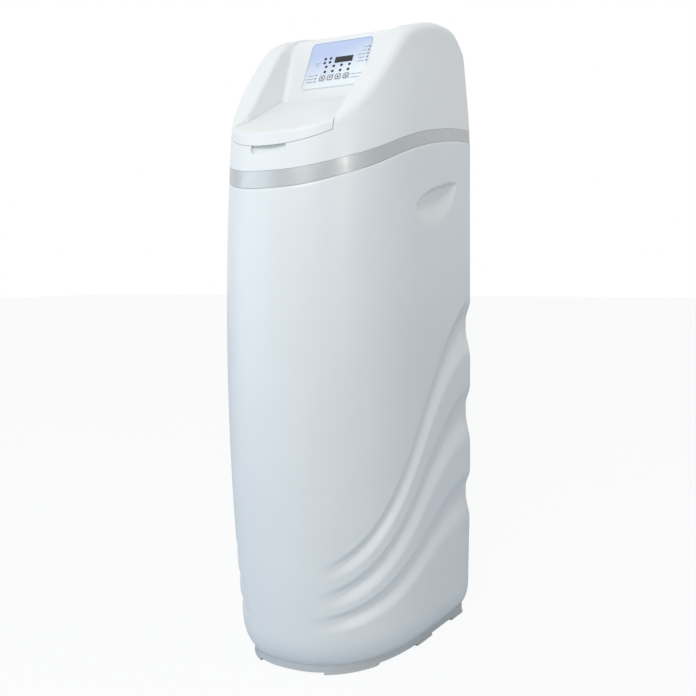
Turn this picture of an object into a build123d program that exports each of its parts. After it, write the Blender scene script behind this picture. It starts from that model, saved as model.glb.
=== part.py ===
"""Cabinet water softener: a pressure tank with its control valve inside a salt cabinet with a hood."""
from build123d import *
import os
from math import acos, atan, cos, degrees, pi, radians, sin, sqrt, tan

# Driving sizes in millimetres: X to the right, the front faces -Y, Z up, the floor at zero
total_height = 1132.0
body_width = 324.0
depth_near_floor = 452.0
depth_at_waist = 486.0
depth_near_top = 463.0
near_floor_z = 40.0
waist_z = 600.0
near_top_z = 920.0
nose_depth = 248.0
nose_power = 2.36
rear_corner_radius = 30.0
draft_start_z = 925.0
draft_ease = 40.0
draft_share = 0.1
cabinet_low_z = 18.0
base_round = 22.0
rear_reach = 22.0

# Walls, gaps and counts that several pieces share
cabinet_wall = 4.0
hood_wall = 3.0
band_wall = 3.0
seam_gap = 0.4
seat_gap = 0.3
running_gap = 0.05
overrun = 30.0
nose_steps = 14
body_levels = 6
hood_levels = 3
depth_samples = 200

# Trim band: the S-shaped edges that divide the cabinet, the band and the hood
band_run = 471.0
band_low_front_z = 818.0
band_low_back_z = 924.0
band_high_front_z = 845.0
band_high_back_z = 946.5
band_shape_shares = [(-0.07, -0.1), (0, 0), (0.093, 0.158), (0.204, 0.325), (0.35, 0.562),
                     (0.552, 0.798), (0.669, 0.887), (0.807, 0.961), (1, 1), (1.07, 1.01)]
collar_wall = 2.6
collar_root = 14.0
collar_rise = 11.0

# Cabinet sides: three wave grooves that fan out to the rear
wave_back_reach = 45.0
wave_run = 412.0
wave_depth = 7.0
wave_lip = 1.0
wave_steps = 15
wave_start_share = -0.12
wave_swing_share = 0.5
wave_full_share = 0.5
wave_profile_shares = [(1, 0.17), (1, 0.5)]
upper_wave_back_z = 606.0
upper_wave_front_z = 201.0
upper_wave_back_drop = 86.0
upper_wave_front_drop = 30.0
middle_wave_back_z = 452.0
middle_wave_front_z = 152.0
middle_wave_back_drop = 98.0
middle_wave_front_drop = 30.0
lower_wave_back_z = 286.0
lower_wave_front_z = 110.0
lower_wave_back_drop = 76.0
lower_wave_front_drop = 28.0

# Cabinet sides: the hand recess under the band
grip_rear_from_back = 92.0
grip_front_from_back = 250.0
grip_rear_z = 843.0
grip_front_z = 792.0
grip_drop = 128.0
grip_depth = 15.0
grip_steps = 10
grip_curve_power = 1.5
grip_end_power = 0.6
grip_swell_power = 0.45
grip_margin_share = 0.02
grip_profile_shares = [(1, 0.06), (0.75, 0.42)]

# Base under the cabinet
plinth_inset = 16.0
plinth_wall = 12.0
foot_proud = 1.5
foot_height = 4.0
foot_length = 60.0
front_foot_across = 95.0
front_foot_from_back = 332.0
side_foot_from_back = 197.0
rear_foot_reach = 62.0

# Hood: side profile of the two cheeks, from the lid's front corners over the top to the back
cheek_run = 423.0
cheek_front_z = 925.0
cheek_shape_shares = [(-0.12, -0.16), (0, 0), (0.071, 0.126), (0.161, 0.314), (0.277, 0.57), (0.331, 0.686),
                      (0.416, 0.826), (0.485, 0.889), (0.563, 0.937), (0.66, 0.981), (0.769, 1),
                      (0.868, 0.981), (0.934, 0.884), (1, 0.7), (1.05, 0.48)]
cheek_round = 16.0
inner_round = 7.0
inner_round_least = 0.8
inner_round_poke = 0.35
inner_round_share = 0.55
inner_round_steps = 16
inner_round_from_back = 30.0
height_halvings = 30

# Hood: the trough between the cheeks, with the lid's slope, the panel and the level top
rim_from_back = 216.5
rim_z = 1108.0
panel_angle = 62.9
lid_line_from_back = 277.6
lid_line_z = 990.8
lid_slope_share = 0.45
rim_round = 6.0
knee_round = 30.0
trough_corner_round = 8.0
trough_half = 90.0
trough_half_z = 940.0
trough_flare_share = 0.1
trough_low_z = 840.0
lid_widen_from_back = 392.0
lid_corner_from_back = 424.0
lid_corner_half = 102.0

# Salt lid, its hinge and the finger recess in front of it
hinge_from_back = 286.0
lid_thickness = 7.0
lid_wall = 2.6
lid_gap = 0.8
lid_seam_from_back = 467.8
lid_seam_z = 884.6
lid_seam_slope_share = 0.57
lid_edge_round = 7.0
lid_pocket_from_back = 300.0
opening_rear_from_back = 304.0
opening_front_from_back = 434.0
opening_half = 76.0
opening_inset = 22.0
hinge_pin_radius = 1.6
hinge_pin_in_lid = 10.0
hinge_pin_in_hood = 4.5
hinge_boss_radius = 4.5
hinge_boss_length = 5.0
finger_half = 34.0
finger_height = 12.0
finger_depth = 7.0
finger_back_wall = 4.0
finger_corner = 5.0
lid_rear_corner = 12.5

# Control panel: places are measured on the panel's slope from the overlay's middle
panel_middle_from_back = 244.8
overlay_width = 127.0
overlay_height = 102.0
overlay_thickness = 0.8
overlay_sink = 0.5
overlay_corner = 8.0
display_width = 37.0
display_height = 12.6
display_across = 12.2
display_up = 8.4
display_margin = 1.6
key_size = 12.4
key_corner = 2.5
key_gap = 0.35
key_proud = 0.5
key_up = -29.0
key_places = {"menu_key": -23.6, "down_key": -7.2, "up_key": 9.2, "set_key": 25.7}
key_flange = 1.4
key_flange_thickness = 0.9
key_travel = 0.8
light_radius = 1.5
light_hole_radius = 2.0
light_rows = [(-27.0, 13.3), (-15.8, 13.3), (-27.0, 4.8), (-15.8, 4.8),
              (-21.5, -4.3), (-5.6, -4.3), (10.6, -4.3), (27.0, -4.3),
              (-21.5, -15.4), (-5.6, -15.4), (10.6, -15.4), (27.0, -15.4)]
mode_light_across = 60.0
mode_light_ups = [29.3, 22.2, 14.2, 7.0, -0.3]
stage_light_across = -38.0
stage_light_ups = [-20.7, -27.8, -34.6]
board_width = 134.0
board_height = 92.0
board_thickness = 1.6
board_gap = 6.0
board_boss_radius = 4.0
board_screw_radius = 1.25
board_screw_head_radius = 3.0
board_screw_head = 2.0
board_screw_edge = 6.0
switch_size = 6.0
switch_body = 3.0
switch_plunger_radius = 1.6
key_edge_round = 0.4
window_rim = 1.0
board_screw_grip = 5.0

# Slot in the hood's rear wall for the ports
slot_half = 75.0
slot_top_z = 1012.0
slot_corner = 12.0

# Power inlet in the hood's rear wall
inlet_across = 104.0
inlet_z = 1030.0
inlet_radius = 5.5
inlet_bore_radius = 2.8
inlet_bore_length = 9.0
inlet_length = 13.0
inlet_flange_radius = 8.0
inlet_flange = 1.5

# Resin tank
tank_radius = 128.5
tank_wall = 3.5
tank_height = 864.0
tank_from_back = 141.0
tank_low_dome = 45.0
tank_high_dome = 60.0
neck_radius = 41.0
neck_bore_radius = 31.0
neck_height = 22.0
boot_wall = 2.4
boot_floor = 3.0
boot_height = 110.0
boot_round = 20.0
resin_share = 0.66
riser_radius = 13.35
riser_wall = 2.4
riser_foot_gap = 22.0
strainer_radius = 24.0
strainer_wall = 2.2
strainer_height = 62.0
strainer_slots = 10
strainer_slot = 1.2
strainer_slot_share = 0.68
top_strainer_radius = 27.0
top_strainer_height = 52.0

# Control valve
seal_inner_radius = 33.0
seal_outer_radius = 38.5
seal_height = 3.0
plug_height = 24.0
flange_radius = 52.0
flange_height = 12.0
column_radius = 38.0
neck_skirt_wall = 4.5
neck_skirt_height = 14.0
annulus_radius = 20.0
annulus_over_flange = 18.0
riser_in_valve = 14.0
port_z = 985.0
port_depth = 50.0
block_width = 136.0
block_depth = 84.0
block_height = 56.0
block_round = 6.0
port_spacing = 90.0
adapter_radius = 16.6
adapter_bore_radius = 12.5
adapter_in_block = 20.0
adapter_collar_radius = 20.5
adapter_collar = 6.0
adapter_thread = 18.0
thread_relief = 3.0
clip_radius = 22.0
clip_thickness = 4.0
chamber_radius = 50.0
chamber_height = 21.0
disc_room_radius = 37.0
disc_radius = 36.5
disc_thickness = 6.0
disc_hole_radius = 6.0
disc_hole_circle = 22.0
disc_holes = 4
spindle_radius = 8.0
spindle_rise = 1.5
cover_plate = 5.0
passage_radius = 7.0
gear_module = 1.5
gear_teeth = 40
pinion_teeth = 10
gear_thickness = 8.0
gear_lift = 1.0
gear_backlash = 0.35
tooth_height_share = 0.85
tooth_root_share = 1.15
tooth_tip_share = 0.5
tooth_root_width_share = 0.9
motor_shaft_radius = 3.0
motor_radius = 25.0
motor_height = 16.0
motor_shaft_in = 5.0
case_wall = 2.4
case_room = 2.0
case_round = 6.0
valve_screw_radius = 2.0
valve_screw_head_radius = 3.5
valve_screw_head = 3.0
valve_screw_circle = 40.8
valve_screw_length = 16.0
injector_radius = 15.0
injector_length = 11.0
injector_across = 34.0
injector_bar = 5.0
brine_port_across = -44.0
brine_port_radius = 9.0
brine_port_length = 12.0
brine_passage_radius = 2.5
drain_body_radius = 9.0
barb_radius = 6.35
barb_bore_radius = 4.2
barb_length = 24.0
barb_plain = 9.0
barb_step = 0.9
barb_rings = 2
drain_in_block = 14.0

# Flow meter in the outlet adapter
impeller_radius = 11.0
impeller_blades = 6
impeller_blade = 1.2
impeller_hub_radius = 3.6
impeller_length = 10.0
blade_angle = 35.0
meter_from_block = 32.0
spider_length = 5.0
spider_hub_radius = 3.4
spider_arm = 1.6
spider_arms = 3
meter_shaft_radius = 1.5
meter_shaft_reach = 4.0
sensor_width = 16.0
sensor_length = 24.0
sensor_height = 14.0
sensor_foot = 5.0

# Brine well and what stands in it
well_across = -80.0
well_from_back = 322.8
well_radius = 38.0
well_wall = 2.5
well_top_z = 880.0
well_slot_radius = 4.0
well_slots = 6
well_slot_z = 48.0
cap_plate = 3.0
cap_skirt = 12.0
cap_skirt_wall = 2.2
brine_elbow_z = 835.0
brine_elbow_out = 8.0
line_in_socket = 10.0
brine_elbow_radius = 7.0
brine_block_width = 42.0
brine_block_depth = 22.0
brine_block_height = 34.0
pickup_radius = 6.35
pickup_wall = 1.2
pickup_across = -14.0
pickup_in_block = 12.0
air_check_radius = 13.0
air_check_height = 68.0
air_check_slot = 3.0
air_check_slots = 3
float_across = 13.0
float_radius = 16.0
float_height = 52.0
float_low_z = 560.0
float_rod_radius = 2.5
float_collar_radius = 5.0
float_collar = 3.0
float_head_radius = 4.0
float_head = 2.0
float_travel = 20.0
line_radius = 4.75
line_wall = 1.1
line_bend = 16.0
line_turn_from_back = 257.8

# Overflow fitting in the cabinet's rear wall
overflow_across = -105.0
overflow_z = 790.0
overflow_flange_radius = 14.0
overflow_flange = 4.0
overflow_stem_radius = 9.0


def depth_at(z):
    """Depth of the body at height z: the parabola through the three named depths."""
    heights = [near_floor_z, waist_z, near_top_z]
    depths = [depth_near_floor, depth_at_waist, depth_near_top]
    total = 0
    for own, depth in zip(heights, depths):
        weight = 1
        for other in heights:
            if other != own:
                weight *= (z - other) / (own - other)
        total += depth * weight
    return total


# Places that follow from the driving sizes: the origin is the middle of the whole footprint
deepest = max(depth_at(total_height * k / depth_samples) for k in range(depth_samples))
back_y = (deepest - rear_reach) / 2
body_half = body_width / 2
form_top_z = total_height + overrun
cabinet_floor_z = cabinet_low_z + cabinet_wall
fitting_end_y = back_y + rear_reach


def from_back(distance):
    """y of a place that lies this far in front of the back plane."""
    return back_y - distance


def half_width(z):
    """Half the body's width at height z: constant, then drawn in over the hood."""
    above = max(0, z - draft_start_z)
    return body_half - draft_share * above ** 2 / (above + draft_ease)


def nose_centre_y(z):
    """y where the straight sides end and the rounded nose starts."""
    return from_back(depth_at(z) - nose_depth)


def outline(z, inset):
    """Wire of the body's plan at height z, set in by a wall: nose, straight sides, round rear corners."""
    half = half_width(z) - inset
    centre = nose_centre_y(z)
    depth = nose_depth - inset
    corner = rear_corner_radius - inset
    back = back_y - inset
    points = []
    for k in range(nose_steps + 1):
        turn = pi * k / nose_steps
        side = 1 if cos(turn) > 0 else -1
        points.append(Vector(side * half * abs(cos(turn)) ** (2 / nose_power),
                             centre - depth * abs(sin(turn)) ** (2 / nose_power), z))
    nose = Spline(*points, tangents=[(0, -1, 0), (0, 1, 0)])
    bend = corner * (1 - sqrt(1 / 2))
    left_corner = ThreePointArc(Vector(-half, back - corner, z), Vector(-half + bend, back - bend, z),
                                Vector(-half + corner, back, z))
    right_corner = ThreePointArc(Vector(half - corner, back, z), Vector(half - bend, back - bend, z),
                                 Vector(half, back - corner, z))
    return Wire([nose, Line(nose @ 1, left_corner @ 0), left_corner, Line(left_corner @ 1, right_corner @ 0),
                 right_corner, Line(right_corner @ 1, nose @ 0)])


def form(inset, low_z):
    """Solid of the body's outer form, set in by a wall and reaching from low_z to above the hood."""
    levels = [low_z + (draft_start_z - low_z) * k / body_levels for k in range(body_levels + 1)]
    rise = form_top_z - draft_start_z
    levels += [draft_start_z + rise * k / hood_levels for k in range(1, hood_levels + 1)]
    return Solid.make_loft([outline(z, inset) for z in levels])


def round_bottom(solid, radius):
    """The same solid with its lowest edges rounded."""
    return fillet(solid.edges().group_by(Axis.Z)[0], radius)


def side_point(distance, z):
    """Point in the side view, this far in front of the back plane."""
    return Vector(0, from_back(distance), z)


def across(edges):
    """Solid that a closed side-view outline sweeps from one side to the other."""
    return extrude(Pos(-deepest, 0, 0) * Face(Wire(edges)), amount=2 * deepest, dir=(1, 0, 0))


def closed_at(curve, z):
    """Solid between a front-to-back curve and the level plane at height z."""
    edges = curve.edges()
    front = curve @ 0
    back = curve @ 1
    corner_back = Vector(0, back.Y, z)
    corner_front = Vector(0, front.Y, z)
    return across([*edges, Line(back, corner_back), Line(corner_back, corner_front),
                   Line(corner_front, front)])


def shape_curve(run, low_z, high_z, shares, lift):
    """Side-view curve that rises from low_z in front to high_z at the back."""
    rise = high_z - low_z
    return Spline(*[side_point(run * (1 - along), low_z + rise * up + lift) for along, up in shares])


def low_edge(lift):
    """The trim band's lower edge, lifted by a gap."""
    return shape_curve(band_run, band_low_front_z, band_low_back_z, band_shape_shares, lift)


def high_edge(lift):
    """The trim band's upper edge, lifted by a gap."""
    return shape_curve(band_run, band_high_front_z, band_high_back_z, band_shape_shares, lift)


def under_cheeks(inset):
    """Everything below the cheeks' side profile, lowered by a wall."""
    return closed_at(shape_curve(cheek_run, cheek_front_z, total_height, cheek_shape_shares, -inset), -overrun)


def box_between(x_range, y_range, z_range):
    """Box between two places on each axis."""
    size = [high - low for low, high in (x_range, y_range, z_range)]
    middle = [(high + low) / 2 for low, high in (x_range, y_range, z_range)]
    return Pos(*middle) * Box(*size)


def upright(x, y, radius, low_z, high_z):
    """Upright cylinder between two heights."""
    return Pos(x, y, (low_z + high_z) / 2) * Cylinder(radius, high_z - low_z)


def rearward(x, z, radius, front, back):
    """Cylinder along Y between two places."""
    return Pos(x, (front + back) / 2, z) * Rot(90, 0, 0) * Cylinder(radius, back - front)


def sideways(y, z, radius, left, right):
    """Cylinder along X between two places."""
    return Pos((left + right) / 2, y, z) * Rot(0, 90, 0) * Cylinder(radius, right - left)


# Wave grooves and hand recesses: carvings that follow the body's side
def side_place(y, z):
    """Point of the right side's surface and its outward direction, at a y and a height."""
    half = half_width(z)
    share = min(max(nose_centre_y(z) - y, 0) / nose_depth, 1)
    across_share = (1 - share ** nose_power) ** (1 / nose_power)
    normal = Vector(across_share ** (nose_power - 1) / half, -share ** (nose_power - 1) / nose_depth, 0)
    return Vector(half * across_share, y, z), normal.normalized()


def carving(stations, lip, shares, deeper):
    """Solid that carves the right side: at each station a step in, a floor and a slope back out."""
    sections = []
    for y, top_z, drop, depth in stations:
        place, outward = side_place(y, top_z)
        slip = (side_place(y, top_z - drop)[0] - place).dot(outward)
        profile = [(lip, deeper)]
        profile += [(slip * fall - depth * share - deeper, -drop * fall) for share, fall in shares]
        profile.append((slip + lip - deeper, -drop))
        sections.append(Wire.make_polygon([place + outward * out + Vector(0, 0, up) for out, up in profile],
                                          close=True))
    return Solid.make_loft(sections)


def wave(back_z, front_z, back_drop, front_drop, deeper):
    """One wave groove of the right side, which falls and narrows to the front and fades out there."""
    stations = []
    for k in range(wave_steps + 1):
        along = wave_start_share + (1 - wave_start_share) * k / wave_steps
        fall = (1 - wave_swing_share) * along + wave_swing_share * (1 - cos(pi * along)) / 2
        fading = max(0, (along - wave_full_share) / (1 - wave_full_share))
        depth = (wave_depth + wave_lip) * (1 + cos(pi * fading)) / 2 - wave_lip
        stations.append((from_back(wave_back_reach + wave_run * along), back_z + (front_z - back_z) * fall,
                         back_drop + (front_drop - back_drop) * along, depth))
    return carving(stations, wave_lip, wave_profile_shares, deeper)


def grip(deeper):
    """The right hand recess: a crescent under the band that is deepest below its upper edge."""
    stations = []
    for k in range(grip_steps + 1):
        along = grip_margin_share + (1 - 2 * grip_margin_share) * k / grip_steps
        swell = sin(pi * along) ** grip_swell_power
        rise = (1 - along ** grip_curve_power) ** grip_end_power
        stations.append((from_back(grip_rear_from_back + (grip_front_from_back - grip_rear_from_back) * along),
                         grip_front_z + (grip_rear_z - grip_front_z) * rise, grip_drop * swell,
                         grip_depth * swell))
    return carving(stations, wave_lip, grip_profile_shares, deeper)


def carvings(deeper):
    """All grooves and recesses of both sides, grown inward by a wall."""
    places = [(upper_wave_back_z, upper_wave_front_z, upper_wave_back_drop, upper_wave_front_drop),
              (middle_wave_back_z, middle_wave_front_z, middle_wave_back_drop, middle_wave_front_drop),
              (lower_wave_back_z, lower_wave_front_z, lower_wave_back_drop, lower_wave_front_drop)]
    right = [wave(*place, deeper) for place in places] + [grip(deeper)]
    return right + [mirror(solid, about=Plane.YZ) for solid in right]


# Cabinet, trim band and base
def under_edge(curve):
    """Everything below an edge's side-view curve."""
    return closed_at(curve, -overrun)


def over_edge(curve):
    """Everything above an edge's side-view curve."""
    return closed_at(curve, form_top_z)


def cabinet_shell():
    """Hollow cabinet with its grooves, hand recesses and the collar that carries band and hood."""
    outer = round_bottom(form(0, cabinet_low_z), base_round)
    cavity = round_bottom(form(cabinet_wall, cabinet_floor_z), base_round - cabinet_wall)
    for solid in carvings(0):
        outer -= solid
    for solid in carvings(cabinet_wall):
        cavity -= solid
    shell = (outer - cavity) & under_edge(low_edge(-seam_gap / 2))
    collar_inset = band_wall + seam_gap
    collar = form(collar_inset, cabinet_low_z) - form(collar_inset + collar_wall, cabinet_low_z)
    collar = collar & over_edge(low_edge(-collar_root)) & under_edge(high_edge(collar_rise))
    overflow = rearward(overflow_across, overflow_z, overflow_stem_radius + seat_gap, back_y - overrun,
                        back_y + overrun)
    return shell + collar - overflow


def trim_band():
    """Thin ring round the collar between the cabinet's edge and the hood's edge."""
    ring = form(0, cabinet_low_z) - form(band_wall, cabinet_low_z)
    return ring & over_edge(low_edge(seam_gap / 2)) & under_edge(high_edge(-seam_gap / 2))


def ring_prism(outer_inset, inner_inset, low_z, high_z):
    """Ring that follows the body's plan at the floor, between two insets and two heights."""
    outer = Face(outline(cabinet_low_z, outer_inset))
    inner = Face(outline(cabinet_low_z, inner_inset))
    height = high_z - low_z
    ring = extrude(outer, amount=height, dir=(0, 0, 1)) - extrude(inner, amount=height, dir=(0, 0, 1))
    return Pos(0, 0, low_z - cabinet_low_z) * ring


def base_plinth():
    """Ring-shaped plinth under the cabinet's flat bottom."""
    return ring_prism(plinth_inset, plinth_inset + plinth_wall, foot_height, cabinet_low_z)


def foot_pads():
    """Six pads under the plinth: two in front, one on each side and two round the rear corners."""
    ring = ring_prism(plinth_inset - foot_proud, plinth_inset + plinth_wall, 0, foot_height)
    level = (-foot_height, 2 * foot_height)
    half = foot_length / 2
    side_y = from_back(side_foot_from_back)
    pads = []
    for side in (-1, 1):
        front = Pos(side * front_foot_across, 0, 0) * box_between(
            (-half, half), (-deepest, from_back(front_foot_from_back)), level)
        middle = Pos(side * body_half, side_y, 0) * box_between(
            (-body_half / 2, body_half / 2), (-half, half), level)
        rear = Pos(side * (body_half - plinth_inset), 0, 0) * box_between(
            (-rear_foot_reach, rear_foot_reach), (back_y - plinth_inset - rear_foot_reach, back_y), level)
        pads += [ring & zone for zone in (front, middle, rear)]
    return pads


# Hood: side-view lines, each as its height at the back plane and its fall towards the front
def side_line(distance, z, slope_share, drop):
    """Side-view line through a place, lowered square to itself by a wall."""
    return z + slope_share * distance - drop * sqrt(1 + slope_share ** 2), slope_share


def seam_line(drop):
    """The seam under the lid's front lip."""
    return side_line(lid_seam_from_back, lid_seam_z, lid_seam_slope_share, drop)


def lid_line(drop):
    """The lid's upper side."""
    return side_line(lid_line_from_back, lid_line_z, lid_slope_share, drop)


def panel_line(drop):
    """The control panel's face."""
    return side_line(rim_from_back, rim_z, tan(radians(panel_angle)), drop)


def meet(one, other):
    """Side-view point where two lines cross."""
    distance = (one[0] - other[0]) / (one[1] - other[1])
    return side_point(distance, one[0] - one[1] * distance)


def on_line(line, distance):
    """Side-view point of a line, this far in front of the back plane."""
    return side_point(distance, line[0] - line[1] * distance)


deck_drop = lid_thickness + lid_gap
front_from_back = deepest + overrun
lid_angle = atan(lid_slope_share)
lid_forward = Vector(0, -cos(lid_angle), -sin(lid_angle))
lid_upward = Vector(0, -sin(lid_angle), cos(lid_angle))
hinge_place = on_line(lid_line(lid_thickness / 2), hinge_from_back)
panel_plane = Plane(on_line(panel_line(0), panel_middle_from_back), x_dir=(1, 0, 0),
                    z_dir=(0, -sin(radians(panel_angle)), cos(radians(panel_angle))))


def trough_half_width(z, inset):
    """Half the trough's width at height z."""
    return trough_half + trough_flare_share * (z - trough_half_z) + inset


def trough_section(z, inset):
    """Wire of the trough's plan at height z: parallel sides that open out at the lid's front corners."""
    half = trough_half_width(z, inset)
    flare = (lid_corner_half - trough_half) / (lid_corner_from_back - lid_widen_from_back)
    front_half = half + flare * (front_from_back - lid_widen_from_back)
    right = [(front_half, from_back(front_from_back)), (half, from_back(lid_widen_from_back)),
             (half, back_y + overrun)]
    left = [(-x, y) for x, y in reversed(right)]
    return Wire.make_polygon([Vector(x, y, z) for x, y in right + left], close=True)


def trough_block(inset):
    """Solid as wide as the trough at every height."""
    sections = [trough_section(z, inset) for z in (trough_low_z, form_top_z)]
    return Solid.make_loft(sections, ruled=True)


def trough(inset):
    """Solid that cuts the trough between the cheeks down to the deck under the lid, grown by a wall."""
    seam, deck, panel = seam_line(inset), lid_line(deck_drop + inset), panel_line(inset)
    rim = side_line(rim_from_back, rim_z, 0, inset)
    front = on_line(seam, front_from_back)
    back = on_line(rim, -overrun)
    foot = meet(deck, panel)
    deck_path = FilletPolyline(front, meet(seam, deck), foot, radius=knee_round)
    panel_path = FilletPolyline(foot, meet(panel, rim), back, radius=rim_round)
    over_back = Vector(0, back.Y, form_top_z)
    over_front = Vector(0, front.Y, form_top_z)
    side = across([*deck_path.edges(), *panel_path.edges(), Line(back, over_back), Line(over_back, over_front),
                   Line(over_front, front)])
    solid = side & trough_block(inset)
    sides = [edge for edge in solid.edges().filter_by(GeomType.LINE) if abs(edge.center().X) > trough_half / 2]
    corners = [edge for edge in sides if abs((edge % 0).dot(panel_plane.y_dir)) > cos(lid_angle)]
    return fillet(corners, trough_corner_round - inset / 2)


def height_on(curve, distance):
    """Height of a rising side-view curve at this distance in front of the back plane, found by halving."""
    low, high = 0, 1
    for _ in range(height_halvings):
        middle = (low + high) / 2
        if (curve @ middle).Y < from_back(distance):
            low = middle
        else:
            high = middle
    return (curve @ low).Z


def inner_rounding(inset):
    """Solid that rounds the right cheek's inner edge: a circle slightly wider than its inset."""
    profile = shape_curve(cheek_run, cheek_front_z, total_height, cheek_shape_shares, -inset)
    flare = (lid_corner_half - trough_half) / (lid_corner_from_back - lid_widen_from_back)
    sections = []
    for k in range(inner_round_steps + 1):
        distance = inner_round_from_back + (cheek_run - inner_round_from_back) * k / inner_round_steps
        edge_z = height_on(profile, distance)
        edge_x = trough_half_width(edge_z, inset) + flare * max(0, distance - lid_widen_from_back)
        floor_z = max(on_line(panel_line(inset), distance).Z, on_line(lid_line(inset), distance).Z)
        height = edge_z - min(rim_z - inset, floor_z)
        radius = max(inner_round_least, min(inner_round - inset, inner_round_share * height))
        reach = radius + inner_round_poke
        lip = radius + reach
        y = from_back(distance)
        centre = Vector(edge_x + radius, y, edge_z - radius)
        low = centre + Vector(-reach, 0, 0)
        top = centre + Vector(0, 0, reach)
        arc = ThreePointArc(low, centre + Vector(-1, 0, 1).normalized() * reach, top)
        over_top = centre + Vector(0, 0, lip)
        over_low = centre + Vector(-lip, 0, 0)
        over = centre + Vector(-lip, 0, lip)
        sections.append(Wire([arc, Line(top, over_top), Line(over_top, over), Line(over, over_low),
                              Line(over_low, low)]))
    return Solid.make_loft(sections)


def hood_form(inset):
    """The hood's outer form with its rounded top, set in by a wall, before the trough is cut."""
    solid = form(inset, cabinet_low_z) & under_cheeks(inset)
    return fillet(solid.faces().sort_by(Axis.Z)[-1].edges(), cheek_round - inset)


def panel_block(place, width, height, low, high, corner=0):
    """Block on the control panel: a place across and up the slope, between two depths along its normal."""
    outline_shape = RectangleRounded(width, height, corner) if corner else Rectangle(width, height)
    face = panel_plane * Pos(place[0], place[1], low) * outline_shape
    return extrude(face, amount=high - low, dir=panel_plane.z_dir)


def panel_pin(place, radius, low, high):
    """Cylinder square to the control panel between two depths."""
    return panel_plane * Pos(place[0], place[1], (low + high) / 2) * Cylinder(radius, high - low)


def hinge_cylinders(radius, inner, outer):
    """Cylinders on the lid's hinge axis at both sides, between two distances from the middle."""
    return [sideways(hinge_place.Y, hinge_place.Z, radius, inner, outer),
            sideways(hinge_place.Y, hinge_place.Z, radius, -outer, -inner)]


hinge_wall_x = trough_half_width(hinge_place.Z, 0)
lights = light_rows + [(mode_light_across, up) for up in mode_light_ups]
lights += [(stage_light_across, up) for up in stage_light_ups]
board_top = -hood_wall - board_gap
key_flange_low = -hood_wall - seat_gap - key_flange_thickness
panel_axis = Axis(panel_plane.origin, panel_plane.z_dir)
board_bottom = board_top - board_thickness
board_screw_places = [(x * (board_width / 2 - board_screw_edge), y * (board_height / 2 - board_screw_edge))
                      for x in (-1, 1) for y in (-1, 1)]
overlay_top = overlay_thickness - overlay_sink
nose_tip_y = from_back(depth_at(lid_seam_z))


def hood_shell():
    """Hood with its two cheeks, the panel, the deck with the salt opening and the slot for the ports."""
    outer = hood_form(0) - trough(0)
    cavity = hood_form(hood_wall) - trough(hood_wall)
    for rounding in (inner_rounding(0), mirror(inner_rounding(0), about=Plane.YZ)):
        outer -= rounding
    for rounding in (inner_rounding(hood_wall), mirror(inner_rounding(hood_wall), about=Plane.YZ)):
        cavity -= rounding
    finger = box_between((-finger_half, finger_half), (nose_tip_y - overrun, nose_tip_y + finger_depth),
                         (lid_seam_z - finger_height, lid_seam_z + overrun))
    finger = fillet(finger.edges().filter_by(Axis.Y).group_by(Axis.Z)[0], finger_corner)
    margin = finger_back_wall
    cavity -= box_between((-finger_half - margin, finger_half + margin),
                          (nose_tip_y - overrun, nose_tip_y + finger_depth + margin),
                          (lid_seam_z - finger_height - margin, lid_seam_z + overrun))
    shell = (outer - cavity) & over_edge(high_edge(seam_gap / 2))
    shell -= finger
    shell -= form(opening_inset, cabinet_low_z) & box_between(
        (-opening_half, opening_half), (from_back(opening_front_from_back), from_back(opening_rear_from_back)),
        (lid_seam_z - overrun, lid_line_z))
    slot = box_between((-slot_half, slot_half), (back_y - overrun, back_y + overrun),
                       (trough_low_z, slot_top_z))
    shell -= fillet(slot.edges().filter_by(Axis.Y).group_by(Axis.Z)[-1], slot_corner)
    for boss in hinge_cylinders(hinge_boss_radius, hinge_wall_x + hood_wall / 2,
                                   hinge_wall_x + hood_wall + hinge_boss_length):
        shell += boss
    for hole in hinge_cylinders(hinge_pin_radius + running_gap, hinge_wall_x - overrun,
                                   hinge_wall_x + hinge_pin_in_hood + seat_gap):
        shell -= hole
    for place in board_screw_places:
        shell += panel_pin(place, board_boss_radius, board_top, -hood_wall / 2)
    for place in board_screw_places:
        shell -= panel_pin(place, board_screw_radius + running_gap, board_top - overlay_thickness, -hood_wall)
    shell -= panel_block((0, 0), overlay_width + 2 * seat_gap, overlay_height + 2 * seat_gap, -overlay_sink,
                         overrun / 2, overlay_corner + seat_gap)
    shell -= panel_block((display_across, display_up), display_width + 2 * seat_gap,
                         display_height + 2 * seat_gap, -hood_wall - seat_gap, 0)
    for across_place in key_places.values():
        shell -= panel_block((across_place, key_up), key_size + 2 * key_gap, key_size + 2 * key_gap,
                             -hood_wall - seat_gap, 0, key_corner + key_gap)
    for place in lights:
        shell -= panel_pin(place, light_hole_radius, -hood_wall - seat_gap, 0)
    inlet_y = back_y - hood_wall
    shell -= rearward(inlet_across, inlet_z, inlet_radius + running_gap, inlet_y - overlay_thickness,
                      back_y + overrun)
    return shell


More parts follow.
